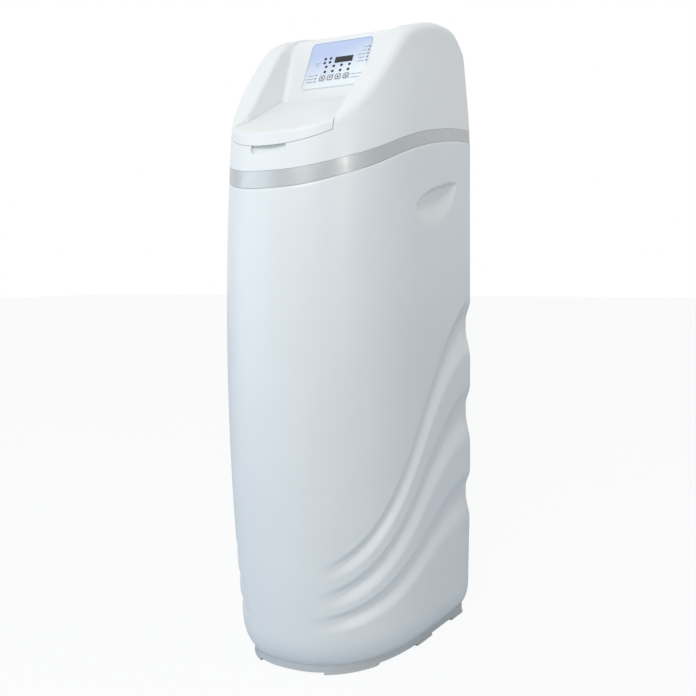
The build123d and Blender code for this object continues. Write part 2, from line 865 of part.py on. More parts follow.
def salt_lid():
    """Lid with a round rear edge about its hinge, a front lip on the seam and a hollow underside."""
    seam, top, under = seam_line(-lid_gap), lid_line(0), lid_line(lid_thickness)
    half = lid_thickness / 2
    front_top = on_line(top, front_from_back)
    front_low = on_line(seam, front_from_back)
    top_foot = hinge_place + lid_upward * half
    low_foot = hinge_place - lid_upward * half
    knee = meet(seam, under)
    rear = ThreePointArc(top_foot, hinge_place - lid_forward * half, low_foot)
    side = across([Line(front_top, top_foot), rear, Line(low_foot, knee), Line(knee, front_low),
                   Line(front_low, front_top)])
    lid = form(0, cabinet_low_z) & side & trough_block(-lid_gap)
    lid = fillet([edge for edge in lid.edges() if edge.length > 2 * lid_corner_half and
                  edge.center().Z > lid_seam_z + lid_edge_round], lid_edge_round)
    rear_top = on_line(lid_line(lid_wall), lid_pocket_from_back)
    hollow_top = on_line(lid_line(lid_wall), front_from_back)
    rear_low = side_point(lid_pocket_from_back, trough_low_z)
    front_low = side_point(front_from_back, trough_low_z)
    hollow = form(lid_wall, cabinet_low_z) & trough_block(-lid_gap - lid_wall) & across(
        [Line(hollow_top, rear_top), Line(rear_top, rear_low), Line(rear_low, front_low),
         Line(front_low, hollow_top)])
    rear_y = hinge_place.Y + half
    corner_x = hinge_wall_x - lid_gap - lid_rear_corner
    for side in (-1, 1):
        reach = lid_rear_corner + lid_gap
        block = Pos(side * (corner_x + reach / 2), 0, 0) * box_between(
            (-reach / 2, reach / 2), (rear_y - lid_rear_corner, rear_y + lid_gap), (lid_seam_z, rim_z))
        lid -= block - upright(side * corner_x, rear_y - lid_rear_corner, lid_rear_corner, trough_low_z,
                               form_top_z)
    lid -= hollow
    hole_x = hinge_wall_x - lid_gap - hinge_pin_in_lid - seat_gap
    for hole in hinge_cylinders(hinge_pin_radius + running_gap, hole_x, hinge_wall_x + overrun):
        lid -= hole
    return lid


def hinge_pins():
    """Two pins that stand in the hood's cheeks and carry the lid."""
    return hinge_cylinders(hinge_pin_radius, hinge_wall_x - lid_gap - hinge_pin_in_lid,
                           hinge_wall_x + hinge_pin_in_hood)


# Control panel and what stands behind it
def control_overlay():
    """Printed film in its recess, with openings for the display and the keys."""
    film = panel_block((0, 0), overlay_width, overlay_height, -overlay_sink, overlay_top, overlay_corner)
    film -= panel_block((display_across, display_up), display_width + 2 * seat_gap,
                        display_height + 2 * seat_gap, -overrun, overrun)
    for key_across in key_places.values():
        film -= panel_block((key_across, key_up), key_size + 2 * key_gap, key_size + 2 * key_gap,
                            -overrun, overrun, key_corner + key_gap)
    return film


def display_window():
    """Clear window in the panel, with a rim behind the wall."""
    place = (display_across, display_up)
    window = panel_block(place, display_width, display_height, -hood_wall - seat_gap - window_rim, 0)
    return window + panel_block(place, display_width + 2 * display_margin, display_height + 2 * display_margin,
                                -hood_wall - seat_gap - window_rim, -hood_wall - seat_gap)


def push_key(key_across):
    """One push key with the flange that keeps it behind the panel."""
    place = (key_across, key_up)
    cap = panel_block(place, key_size, key_size, key_flange_low, overlay_top + key_proud, key_corner)
    cap = fillet(cap.faces().sort_by(panel_axis)[-1].edges(), key_edge_round)
    return cap + panel_block(place, key_size + 2 * key_flange, key_size + 2 * key_flange, key_flange_low,
                             -hood_wall - seat_gap, key_corner)


def indicator_lights():
    """All lights on the board, their tops just below the film."""
    return [panel_pin(place, light_radius, board_top, -overlay_sink - seat_gap) for place in lights]


def circuit_board():
    """Board behind the panel, on the hood's bosses."""
    board = panel_block((0, 0), board_width, board_height, board_bottom, board_top)
    holes = [panel_pin(place, board_screw_radius + running_gap, board_bottom - overrun, board_top + seat_gap)
             for place in board_screw_places]
    return board - holes


def display_module():
    """Display on the board, just behind the window."""
    return panel_block((display_across, display_up), display_width - display_margin,
                       display_height - display_margin, board_top, -hood_wall - window_rim - 2 * seat_gap)


def key_switches():
    """One tact switch on the board under each key."""
    tops = [panel_pin((key_across, key_up), switch_plunger_radius, board_top + switch_body,
                      key_flange_low - key_travel - running_gap) for key_across in key_places.values()]
    bodies = [panel_block((key_across, key_up), switch_size, switch_size, board_top, board_top + switch_body)
              for key_across in key_places.values()]
    return [top + body for top, body in zip(tops, bodies)]


def board_screws():
    """Four screws from behind the board into the hood's bosses."""
    return [panel_pin(place, board_screw_head_radius, board_bottom - board_screw_head, board_bottom) +
            panel_pin(place, board_screw_radius, board_bottom - board_screw_head, board_top + board_screw_grip)
            for place in board_screw_places]


def power_inlet():
    """Round low-voltage socket in the hood's rear wall."""
    inside_y = back_y - inlet_length
    body = rearward(inlet_across, inlet_z, inlet_radius, inside_y, back_y + inlet_flange)
    body += rearward(inlet_across, inlet_z, inlet_flange_radius, back_y, back_y + inlet_flange)
    return body - rearward(inlet_across, inlet_z, inlet_bore_radius, back_y + inlet_flange - inlet_bore_length,
                           back_y + overrun)


# Resin tank: turned pieces about the tank's axis
tank_y = from_back(tank_from_back)
tank_low_z = cabinet_floor_z + boot_floor + seat_gap
tank_shoulder_z = tank_low_z + tank_height
neck_top_z = tank_shoulder_z + neck_height
tank_floor_z = tank_low_z + tank_wall


def turned(edges):
    """Solid that a closed outline of radius and height makes about the tank's axis."""
    return Pos(0, tank_y, 0) * revolve(Plane.XZ * Face(Wire(edges)), Axis.Z)


def tank_profile(inset, top_radius, top_z):
    """Closed outline of the tank, set in by a wall: two domes, a straight side and a neck."""
    radius = tank_radius - inset
    low = tank_low_z + inset
    low_side = tank_low_z + tank_low_dome
    high_side = tank_shoulder_z - tank_high_dome
    low_dome = EllipticalCenterArc((0, low_side), radius, low_side - low, 270, arc_size=90)
    neck_angle = degrees(acos(top_radius / radius))
    high_dome = EllipticalCenterArc((0, high_side), radius, tank_high_dome - inset, 0, arc_size=neck_angle)
    neck_low = high_dome @ 1
    return [low_dome, Line(low_dome @ 1, high_dome @ 0), high_dome, Line(neck_low, (neck_low.X, top_z)),
            Line((neck_low.X, top_z), (0, top_z)), Line((0, top_z), low_dome @ 0)]


def tank_shell():
    """Pressure vessel with an open neck."""
    cavity = turned(tank_profile(tank_wall, neck_bore_radius, neck_top_z + overrun))
    return turned(tank_profile(0, neck_radius, neck_top_z)) - cavity


def tank_boot():
    """Cup that the tank stands in on the cabinet's floor."""
    inner = tank_radius + seat_gap
    cup = upright(0, tank_y, inner + boot_wall, cabinet_floor_z, cabinet_floor_z + boot_height)
    hollow = upright(0, tank_y, inner, cabinet_floor_z + boot_floor, cabinet_floor_z + boot_height + overrun)
    return round_bottom(cup, boot_round) - round_bottom(hollow, boot_round - boot_wall)


strainer_low_z = tank_floor_z + riser_foot_gap
strainer_top_z = strainer_low_z + strainer_height
flange_low_z = neck_top_z + seal_height
flange_top_z = flange_low_z + flange_height
plug_low_z = neck_top_z - plug_height
riser_top_z = flange_top_z + annulus_over_flange + riser_in_valve
riser_low_z = strainer_top_z - riser_in_valve


def resin_bed():
    """Resin that fills the lower part of the tank around the riser and the lower strainer."""
    level = tank_low_z + tank_height * resin_share
    bed = turned(tank_profile(tank_wall + seat_gap, neck_bore_radius, neck_top_z))
    bed &= upright(0, tank_y, tank_radius, tank_low_z, level)
    bed -= upright(0, tank_y, riser_radius + seat_gap, tank_low_z, neck_top_z)
    return bed - upright(0, tank_y, strainer_radius + seat_gap, tank_low_z, strainer_top_z + seat_gap)


def riser_tube():
    """Central tube from the lower strainer up into the valve."""
    return (upright(0, tank_y, riser_radius, riser_low_z, riser_top_z) -
            upright(0, tank_y, riser_radius - riser_wall, riser_low_z - overrun, riser_top_z + overrun))


def basket(radius, low_z, high_z):
    """Strainer basket round the riser with upright slots, closed at its far end by its plates."""
    body = upright(0, tank_y, radius, low_z, high_z)
    body -= upright(0, tank_y, radius - strainer_wall, low_z + strainer_wall, high_z - strainer_wall)
    middle = (low_z + high_z) / 2
    slot_half_height = (high_z - low_z) * strainer_slot_share / 2
    slots = [Pos(0, tank_y, middle) * Rot(0, 0, 180 * k / strainer_slots) *
             Box(2 * radius + overrun, strainer_slot, 2 * slot_half_height) for k in range(strainer_slots)]
    return body - slots


def lower_distributor():
    """Strainer basket at the riser's foot, standing on the tank's floor by its stem."""
    stem = upright(0, tank_y, riser_radius, tank_floor_z + seat_gap, strainer_low_z + strainer_wall)
    body = basket(strainer_radius, strainer_low_z, strainer_top_z)
    body -= upright(0, tank_y, riser_radius + running_gap, riser_low_z, strainer_top_z + overrun)
    return body + stem


def upper_distributor():
    """Strainer basket under the valve, round the riser."""
    body = basket(top_strainer_radius, plug_low_z - top_strainer_height, plug_low_z)
    return body - upright(0, tank_y, riser_radius + running_gap, tank_floor_z, neck_top_z)


# Control valve on the tank's neck
block_top_z = port_z + block_height / 2
block_front_y = tank_y - block_depth / 2
block_rear_y = tank_y + block_depth / 2
chamber_top_z = block_top_z + chamber_height
plate_top_z = chamber_top_z + cover_plate
gear_low_z = plate_top_z + gear_lift
gear_top_z = gear_low_z + gear_thickness
gear_distance = gear_module * (gear_teeth + pinion_teeth) / 2
port_half = port_spacing / 2
brine_port_front_y = block_front_y - brine_port_length


def valve_body():
    """Valve housing: neck plug, skirted flange, column, block with its ports and the disc chamber."""
    body = upright(0, tank_y, neck_bore_radius - seat_gap, plug_low_z, flange_top_z)
    body += upright(0, tank_y, flange_radius, flange_low_z, flange_top_z)
    skirt_inner = neck_radius + seat_gap
    skirt_low_z = neck_top_z - neck_skirt_height
    body += (upright(0, tank_y, skirt_inner + neck_skirt_wall, skirt_low_z, flange_top_z) -
             upright(0, tank_y, skirt_inner, skirt_low_z, flange_low_z))
    body += upright(0, tank_y, column_radius, flange_low_z, block_top_z)
    block = Pos(0, tank_y, port_z) * Box(block_width, block_depth, block_height)
    body += fillet(block.edges().filter_by(Axis.Z), block_round)
    body += upright(0, tank_y, chamber_radius, block_top_z - block_round, chamber_top_z)
    body += rearward(brine_port_across, port_z, brine_port_radius, brine_port_front_y,
                     block_front_y + block_round)
    annulus_top_z = flange_top_z + annulus_over_flange
    cuts = [upright(0, tank_y, annulus_radius, plug_low_z - overrun, annulus_top_z),
            upright(0, tank_y, riser_radius + running_gap, annulus_top_z - overrun, riser_top_z + seat_gap),
            upright(0, tank_y, passage_radius, riser_top_z, block_top_z + overrun),
            upright(0, tank_y, disc_room_radius, block_top_z, chamber_top_z + overrun),
            upright(0, tank_y - disc_hole_circle, disc_hole_radius, annulus_top_z, block_top_z + overrun),
            upright(0, tank_y + disc_hole_circle, disc_hole_radius, port_z, block_top_z + overrun),
            rearward(0, port_z, barb_bore_radius, tank_y + disc_hole_circle, block_rear_y + overrun),
            rearward(0, port_z, drain_body_radius + running_gap, block_rear_y - drain_in_block,
                     block_rear_y + overrun),
            rearward(brine_port_across, port_z, line_radius + running_gap, brine_port_front_y - overrun,
                     brine_port_front_y + line_in_socket),
            rearward(brine_port_across, port_z, brine_passage_radius, brine_port_front_y,
                     block_front_y + block_round)]
    for side in (-1, 1):
        x = side * port_half
        cuts += [rearward(x, port_z, adapter_bore_radius, block_rear_y - port_depth, block_rear_y + overrun),
                 rearward(x, port_z, adapter_radius + running_gap, block_rear_y - adapter_in_block,
                          block_rear_y + overrun),
                 Pos((x + side * disc_hole_circle) / 2, tank_y, port_z) * Rot(0, 90, 0) *
                 Cylinder(passage_radius, port_half - disc_hole_circle),
                 upright(side * disc_hole_circle, tank_y, disc_hole_radius, port_z, block_top_z + overrun)]
    cuts += [upright(x, y, valve_screw_radius + running_gap, chamber_top_z - valve_screw_in_chamber,
                     chamber_top_z + overrun) for x, y in valve_screw_places]
    return body - cuts


valve_screw_places = [(valve_screw_circle * cos(turn), tank_y + valve_screw_circle * sin(turn))
                      for turn in (pi / 4, 3 * pi / 4, 5 * pi / 4, 7 * pi / 4)]
valve_screw_in_chamber = valve_screw_length - cover_plate


def neck_seal():
    """Flat ring between the tank's neck and the valve's flange."""
    return (upright(0, tank_y, seal_outer_radius, neck_top_z, flange_low_z) -
            upright(0, tank_y, seal_inner_radius, neck_top_z - overrun, flange_low_z + overrun))


def disc_holes_at(low_z, high_z, radius):
    """Cylinders through a valve disc, evenly spaced on its circle."""
    hole = upright(disc_hole_circle, 0, radius, low_z, high_z)
    return [Pos(0, tank_y, 0) * Rot(0, 0, 360 * k / disc_holes) * hole
            for k in range(disc_holes)]


disc_split_z = block_top_z + disc_thickness
moving_low_z = disc_split_z + running_gap


def fixed_disc():
    """Ceramic disc on the chamber's floor, with one hole for each passage."""
    disc = upright(0, tank_y, disc_radius, block_top_z, disc_split_z)
    return disc - disc_holes_at(block_top_z - overrun, disc_split_z + overrun, disc_hole_radius) - upright(
        0, tank_y, passage_radius, block_top_z - overrun, disc_split_z + overrun)


def moving_disc():
    """Turning disc with its spindle, which carries the drive gear."""
    disc = upright(0, tank_y, disc_radius, moving_low_z, moving_low_z + disc_thickness)
    disc -= upright(disc_hole_circle, tank_y, disc_hole_radius, moving_low_z - overrun, moving_low_z + overrun)
    spindle = upright(0, tank_y, spindle_radius, moving_low_z, gear_top_z + spindle_rise)
    shoulder = upright(0, tank_y, spindle_radius + spindle_rise, moving_low_z, chamber_top_z - seat_gap)
    return disc + spindle + shoulder


def gear_face(teeth):
    """Plan of a spur gear: each tooth narrows from its root to its tip."""
    pitch = gear_module * teeth / 2
    tip = pitch + gear_module * tooth_height_share
    root = pitch - gear_module * tooth_root_share
    half_tooth = (pi * gear_module / 2 - gear_backlash) / 2 / pitch
    half_tip = half_tooth * tooth_tip_share
    half_root = half_tooth * (2 - tooth_tip_share) * tooth_root_width_share
    points = []
    for k in range(teeth):
        middle = 2 * pi * k / teeth
        for radius, angle in ((root, middle - half_root), (tip, middle - half_tip), (tip, middle + half_tip),
                              (root, middle + half_root)):
            points.append((radius * cos(angle), radius * sin(angle)))
    return Face(Wire.make_polygon([Vector(x, y, 0) for x, y in points], close=True))


def drive_gear():
    """Large gear pressed on the spindle."""
    gear = extrude(gear_face(gear_teeth), amount=gear_thickness, dir=(0, 0, 1))
    hub = upright(0, 0, spindle_radius + running_gap, -overrun, overrun)
    return Pos(0, tank_y, gear_low_z) * (gear - hub)


def motor_pinion():
    """Small gear with the shaft that enters the motor."""
    gear = extrude(gear_face(pinion_teeth), amount=gear_thickness, dir=(0, 0, 1))
    pinion = Pos(gear_distance, tank_y, gear_low_z) * Rot(0, 0, 180 / pinion_teeth) * gear
    return pinion + upright(gear_distance, tank_y, motor_shaft_radius, plate_top_z + running_gap,
                            motor_low_z + motor_shaft_in - seat_gap)


motor_low_z = gear_top_z + case_room
motor_top_z = motor_low_z + motor_height
gear_tip_radius = gear_module * (gear_teeth / 2 + tooth_height_share)
case_left_x = -gear_tip_radius - case_room
case_right_x = gear_distance + motor_radius + case_room
case_half_depth = gear_tip_radius + case_room


def case_box(grow, low_z, high_z):
    """Box round the gears and the motor, grown by a wall, with round upright edges."""
    box = box_between((case_left_x - grow, case_right_x + grow),
                      (tank_y - case_half_depth - grow, tank_y + case_half_depth + grow), (low_z, high_z))
    return fillet(box.edges().filter_by(Axis.Z), case_round + grow)


def gear_plate():
    """Plate that closes the chamber and carries the gears."""
    plate = case_box(case_wall, chamber_top_z, plate_top_z) + upright(0, tank_y, chamber_radius, chamber_top_z,
                                                                     plate_top_z)
    cuts = [upright(x, y, valve_screw_radius + running_gap, chamber_top_z - overrun, plate_top_z + overrun)
            for x, y in valve_screw_places]
    return plate - cuts - upright(0, tank_y, spindle_radius + running_gap, chamber_top_z - overrun,
                                  plate_top_z + overrun)


def valve_screws():
    """Four screws through the gear plate into the chamber's wall."""
    head_top_z = plate_top_z + valve_screw_head
    return [upright(x, y, valve_screw_radius, plate_top_z - valve_screw_length, head_top_z) +
            upright(x, y, valve_screw_head_radius, plate_top_z, head_top_z)
            for x, y in valve_screw_places]


def drive_motor():
    """Flat gear motor under the cover's roof, over the pinion."""
    body = upright(gear_distance, tank_y, motor_radius, motor_low_z, motor_top_z)
    return body - upright(gear_distance, tank_y, motor_shaft_radius + running_gap, motor_low_z - overrun,
                          motor_low_z + motor_shaft_in)


def drive_cover():
    """Cover over gears and motor, standing on the gear plate."""
    cover = case_box(case_wall, plate_top_z, motor_top_z + case_wall)
    return cover - case_box(0, plate_top_z - overrun, motor_top_z)


def injector_cap():
    """Round cap on the block's front over the injector, with a grip bar."""
    cap = rearward(injector_across, port_z, injector_radius, block_front_y - injector_length, block_front_y)
    bar = Pos(injector_across, block_front_y - injector_length, port_z) * Box(
        2 * injector_radius - injector_bar, injector_bar, injector_bar)
    return cap + bar


def barb(x, z, root_y, end_y):
    """Hose barb along Y: a plain stem, then teeth that are as wide as the stem."""
    step = (end_y - root_y - barb_plain) / barb_rings
    body = rearward(x, z, barb_radius, root_y, root_y + barb_plain)
    for k in range(barb_rings):
        middle = root_y + barb_plain + step * (k + 1 / 2)
        body += Pos(x, middle, z) * Rot(-90, 0, 0) * Cone(barb_radius, barb_radius - barb_step, step)
    return body


def drain_fitting():
    """Drain stub on the block's rear with a hose barb that reaches behind the body."""
    barb_root_y = fitting_end_y - barb_length
    body = rearward(0, port_z, drain_body_radius, block_rear_y - drain_in_block + seat_gap, barb_root_y)
    body += barb(0, port_z, barb_root_y, fitting_end_y)
    return body - rearward(0, port_z, barb_bore_radius, block_rear_y - drain_in_block - overrun,
                           fitting_end_y + overrun)


def port_adapter(x):
    """Pipe adapter from the block out through the hood's slot, with a collar and a threaded end."""
    body = rearward(x, port_z, adapter_radius, block_rear_y - adapter_in_block + seat_gap, fitting_end_y)
    collar_y = block_rear_y + clip_thickness + 2 * seat_gap
    body += rearward(x, port_z, adapter_collar_radius, collar_y, collar_y + adapter_collar)
    relief = (rearward(x, port_z, adapter_radius + overrun, fitting_end_y - adapter_thread - thread_relief,
                       fitting_end_y - adapter_thread) -
              rearward(x, port_z, adapter_radius - thread_relief / 2, fitting_end_y - adapter_thread - overrun,
                       fitting_end_y))
    return body - relief - rearward(x, port_z, adapter_bore_radius, block_rear_y - adapter_in_block - overrun,
                                    fitting_end_y + overrun)


def adapter_clips():
    """Rings that hold both adapters in the block."""
    front_y = block_rear_y + seat_gap
    return [rearward(x, port_z, clip_radius, front_y, front_y + clip_thickness) -
            rearward(x, port_z, adapter_radius + seat_gap, block_rear_y - overrun, block_rear_y + overrun)
            for x in (-port_half, port_half)]


# Flow meter in the outlet adapter
outlet_x = port_half
meter_y = block_rear_y + meter_from_block
cage_wall = (adapter_bore_radius - running_gap - impeller_radius) / 2
cage_half = impeller_length / 2 + seat_gap + spider_length


def meter_cage():
    """Sleeve in the outlet's bore with a three-armed bearing at each end."""
    outer = adapter_bore_radius - running_gap
    cage = (rearward(outlet_x, port_z, outer, meter_y - cage_half, meter_y + cage_half) -
            rearward(outlet_x, port_z, outer - cage_wall, meter_y - cage_half - overrun,
                     meter_y + cage_half + overrun))
    for side in (-1, 1):
        low = meter_y + side * cage_half - (spider_length if side > 0 else 0)
        cage += rearward(outlet_x, port_z, spider_hub_radius, low, low + spider_length)
        for k in range(spider_arms):
            place = Pos(0, low + spider_length / 2, outer / 2)
            arm = place * Box(spider_arm, spider_length, outer - cage_wall / 2)
            cage += Pos(outlet_x, 0, port_z) * Rot(0, 360 * k / spider_arms, 0) * arm
    return cage - rearward(outlet_x, port_z, meter_shaft_radius + running_gap, meter_y - cage_half - overrun,
                           meter_y + cage_half + overrun)


def meter_impeller():
    """Turbine wheel with slanted blades and its shaft."""
    half = impeller_length / 2
    wheel = rearward(outlet_x, port_z, impeller_hub_radius, meter_y - half, meter_y + half)
    blades = [Pos(outlet_x, meter_y, port_z) * Rot(0, 360 * k / impeller_blades, 0) *
              Pos(0, 0, impeller_radius / 2) * Rot(0, 0, blade_angle) *
              Box(impeller_blade, impeller_length, impeller_radius) for k in range(impeller_blades)]
    envelope = rearward(outlet_x, port_z, impeller_radius - seat_gap, meter_y - half, meter_y + half)
    for blade in blades:
        wheel += blade & envelope
    return wheel + rearward(outlet_x, port_z, meter_shaft_radius, meter_y - half - meter_shaft_reach,
                            meter_y + half + meter_shaft_reach)


def meter_sensor():
    """Pickup on top of the outlet adapter, its foot shaped to the pipe."""
    low_z = port_z + adapter_radius - sensor_foot
    box = box_between((outlet_x - sensor_width / 2, outlet_x + sensor_width / 2),
                      (meter_y - sensor_length / 2, meter_y + sensor_length / 2), (low_z, low_z + sensor_height))
    return box - rearward(outlet_x, port_z, adapter_radius + seat_gap, meter_y - sensor_length,
                          meter_y + sensor_length)


# Brine well with its float valve
well_y = from_back(well_from_back)
brine_block_top_z = brine_elbow_z + brine_block_height / 2
brine_block_low_z = brine_elbow_z - brine_block_height / 2
elbow_end_y = well_y + well_radius + brine_elbow_out
pickup_x = well_across + pickup_across
float_x = well_across + float_across


def brine_well():
    """Tall tube in the salt space with holes near its foot and one for the elbow."""
    tube = (upright(well_across, well_y, well_radius, cabinet_floor_z, well_top_z) -
            upright(well_across, well_y, well_radius - well_wall, cabinet_floor_z - overrun,
                    well_top_z + overrun))
    holes = [Pos(well_across, well_y, well_slot_z) * Rot(0, 0, 180 * k / well_slots) * Rot(0, 90, 0) *
             Cylinder(well_slot_radius, 2 * well_radius + overrun) for k in range(well_slots)]
    elbow_hole = rearward(well_across, brine_elbow_z, brine_elbow_radius + seat_gap, well_y, elbow_end_y)
    return tube - holes - elbow_hole


def brine_well_cap():
    """Lift-off cap on the brine well."""
    outer = well_radius + seat_gap + cap_skirt_wall
    cap = upright(well_across, well_y, outer, well_top_z - cap_skirt, well_top_z + cap_plate)
    return cap - upright(well_across, well_y, well_radius + seat_gap, well_top_z - cap_skirt - overrun,
                         well_top_z)


def brine_valve():
    """Valve block in the well with the elbow that carries it in the well's wall."""
    block = box_between((well_across - brine_block_width / 2, well_across + brine_block_width / 2),
                        (well_y - brine_block_depth / 2, well_y + brine_block_depth / 2),
                        (brine_block_low_z, brine_block_top_z))
    block += rearward(well_across, brine_elbow_z, brine_elbow_radius, well_y, elbow_end_y)
    cuts = [rearward(well_across, brine_elbow_z, line_radius + running_gap, elbow_end_y - line_in_socket,
                     elbow_end_y + overrun),
            rearward(well_across, brine_elbow_z, brine_passage_radius, well_y, elbow_end_y),
            upright(pickup_x, well_y, pickup_radius + running_gap, brine_block_low_z - overrun,
                    brine_block_low_z + pickup_in_block),
            upright(float_x, well_y, float_rod_radius + running_gap, brine_block_low_z - overrun,
                    brine_block_top_z + overrun)]
    return block - cuts


air_check_low_z = cabinet_floor_z + seat_gap
air_check_top_z = air_check_low_z + air_check_height
pickup_low_z = air_check_top_z - pickup_in_block


def pickup_tube():
    """Suction tube from the air check up into the valve block."""
    high_z = brine_block_low_z + pickup_in_block - seat_gap
    return (upright(pickup_x, well_y, pickup_radius, pickup_low_z, high_z) -
            upright(pickup_x, well_y, pickup_radius - pickup_wall, pickup_low_z - overrun, high_z + overrun))


def air_check():
    """Foot valve with three level slots, standing on the cabinet's floor."""
    body = upright(pickup_x, well_y, air_check_radius, air_check_low_z, air_check_top_z)
    body -= upright(pickup_x, well_y, air_check_radius - pickup_wall, air_check_low_z + pickup_wall,
                    pickup_low_z - pickup_wall)
    body -= upright(pickup_x, well_y, pickup_radius - pickup_wall, pickup_low_z - pickup_in_block,
                    air_check_top_z)
    body -= upright(pickup_x, well_y, pickup_radius + running_gap, pickup_low_z, air_check_top_z + overrun)
    slots = [Pos(pickup_x, well_y, air_check_low_z + air_check_slot * (2 * k + 2)) *
             Box(2 * air_check_radius + overrun, air_check_radius, air_check_slot) for k in range(air_check_slots)]
    return body - slots


def safety_float():
    """Float on its rod, which hangs by its head on the valve block and has a stop below it."""
    head_low_z = brine_block_top_z + seat_gap
    body = upright(float_x, well_y, float_radius, float_low_z, float_low_z + float_height)
    body += upright(float_x, well_y, float_rod_radius, float_low_z, head_low_z + float_head)
    body += upright(float_x, well_y, float_head_radius, head_low_z, head_low_z + float_head)
    stop_top_z = brine_block_low_z - float_travel - seat_gap
    return body + upright(float_x, well_y, float_collar_radius, stop_top_z - float_collar, stop_top_z)


def brine_line():
    """Tube from the brine valve's elbow up and back to the control valve's front."""
    turn_y = from_back(line_turn_from_back)
    start = Vector(well_across, elbow_end_y - line_in_socket + seat_gap, brine_elbow_z)
    end = Vector(brine_port_across, brine_port_front_y + line_in_socket - seat_gap, port_z)
    path = FilletPolyline(start, (well_across, turn_y, brine_elbow_z), (brine_port_across, turn_y, port_z), end,
                          radius=line_bend)
    section = Plane(start, x_dir=(1, 0, 0), z_dir=(0, 1, 0))
    tube = sweep(section * Circle(line_radius), path=path)
    return tube - sweep(section * Circle(line_radius - line_wall), path=path)


def overflow_fitting():
    """Overflow stub in the cabinet's rear wall with a hose barb."""
    wall_y = back_y - cabinet_wall
    barb_root_y = back_y + overflow_flange
    body = rearward(overflow_across, overflow_z, overflow_flange_radius, wall_y - overflow_flange, wall_y)
    body += rearward(overflow_across, overflow_z, overflow_stem_radius, wall_y - overflow_flange, barb_root_y)
    body += barb(overflow_across, overflow_z, barb_root_y, fitting_end_y)
    return body - rearward(overflow_across, overflow_z, barb_bore_radius, wall_y - overflow_flange - overrun,
                           fitting_end_y + overrun)


def export(node, made):
    """Write one node as its own file."""
    shape = Compound(children=list(made)) if isinstance(made, list) else made
    export_step(shape, "parts/" + node + ".step")


pieces = [cabinet_shell, trim_band, base_plinth, foot_pads, hood_shell, salt_lid, hinge_pins, control_overlay,
          display_window, indicator_lights, circuit_board, display_module, key_switches, board_screws, power_inlet,
          tank_shell, tank_boot, resin_bed, riser_tube, lower_distributor, upper_distributor, valve_body, neck_seal,
          fixed_disc, moving_disc, drive_gear, motor_pinion, gear_plate, valve_screws, drive_motor, drive_cover,
          injector_cap, drain_fitting, adapter_clips, meter_cage, meter_impeller, meter_sensor, brine_well,
          brine_well_cap, brine_valve, pickup_tube, air_check, safety_float, brine_line, overflow_fitting]

os.makedirs("parts", exist_ok=True)
for piece in pieces:
    export(piece.__name__, piece())
for key, key_across in key_places.items():
    export(key, push_key(key_across))
for adapter, adapter_x in {"inlet_adapter": -port_half, "outlet_adapter": port_half}.items():
    export(adapter, port_adapter(adapter_x))
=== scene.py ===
"""Water softener in a white cabinet: finishes, moulded details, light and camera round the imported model.

Lengths are metres in the part's own frame: X to the right, the front faces -Y, Z up, the floor at zero.
"""

from __future__ import annotations

import logging
from collections.abc import Callable
from dataclasses import dataclass, field
from enum import Enum
from math import cos, pi, radians, sin
from typing import Protocol

import bpy
import numpy as np
from mathutils import Matrix, Vector


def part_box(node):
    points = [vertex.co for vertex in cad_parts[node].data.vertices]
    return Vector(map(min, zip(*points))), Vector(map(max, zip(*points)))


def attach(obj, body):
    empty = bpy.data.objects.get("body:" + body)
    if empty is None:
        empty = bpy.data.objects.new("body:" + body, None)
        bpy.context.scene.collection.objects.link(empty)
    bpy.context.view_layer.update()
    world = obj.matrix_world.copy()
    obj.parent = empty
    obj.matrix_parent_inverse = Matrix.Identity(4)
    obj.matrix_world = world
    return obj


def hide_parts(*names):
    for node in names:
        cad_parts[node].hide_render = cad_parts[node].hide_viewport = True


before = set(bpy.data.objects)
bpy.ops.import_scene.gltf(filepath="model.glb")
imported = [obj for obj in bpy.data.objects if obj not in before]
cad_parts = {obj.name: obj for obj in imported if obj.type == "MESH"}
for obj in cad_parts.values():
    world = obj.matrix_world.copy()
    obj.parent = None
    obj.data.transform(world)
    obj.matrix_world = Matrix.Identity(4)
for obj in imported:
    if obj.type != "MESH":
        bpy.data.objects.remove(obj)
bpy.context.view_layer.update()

MM = 0.001
log = logging.getLogger("softener")

Colour = tuple[float, float, float]
Socket = bpy.types.NodeSocket


def linear(red: float, green: float, blue: float) -> Colour:
    """Turns a colour as a screen shows it, 0 to 255, into the linear values that a shader takes.

    Args:
        red, green, blue: The screen values.

    Returns:
        The three linear values.
    """
    shares = np.array([red, green, blue]) / 255
    low = shares / 12.92
    high = ((shares + 0.055) / 1.055) ** 2.4
    return tuple(float(v) for v in np.where(shares <= 0.04045, low, high))


def shaded(colour: Colour, share: float) -> Colour:
    """Returns a colour made paler or darker by a share, held at 1."""
    return tuple(min(1.0, c * share) for c in colour)


def eased(share: np.ndarray) -> np.ndarray:
    """Returns the smooth step of a share: 3 t squared less 2 t cubed, held between 0 and 1."""
    t = np.clip(share, 0, 1)
    return t * t * (3 - 2 * t)


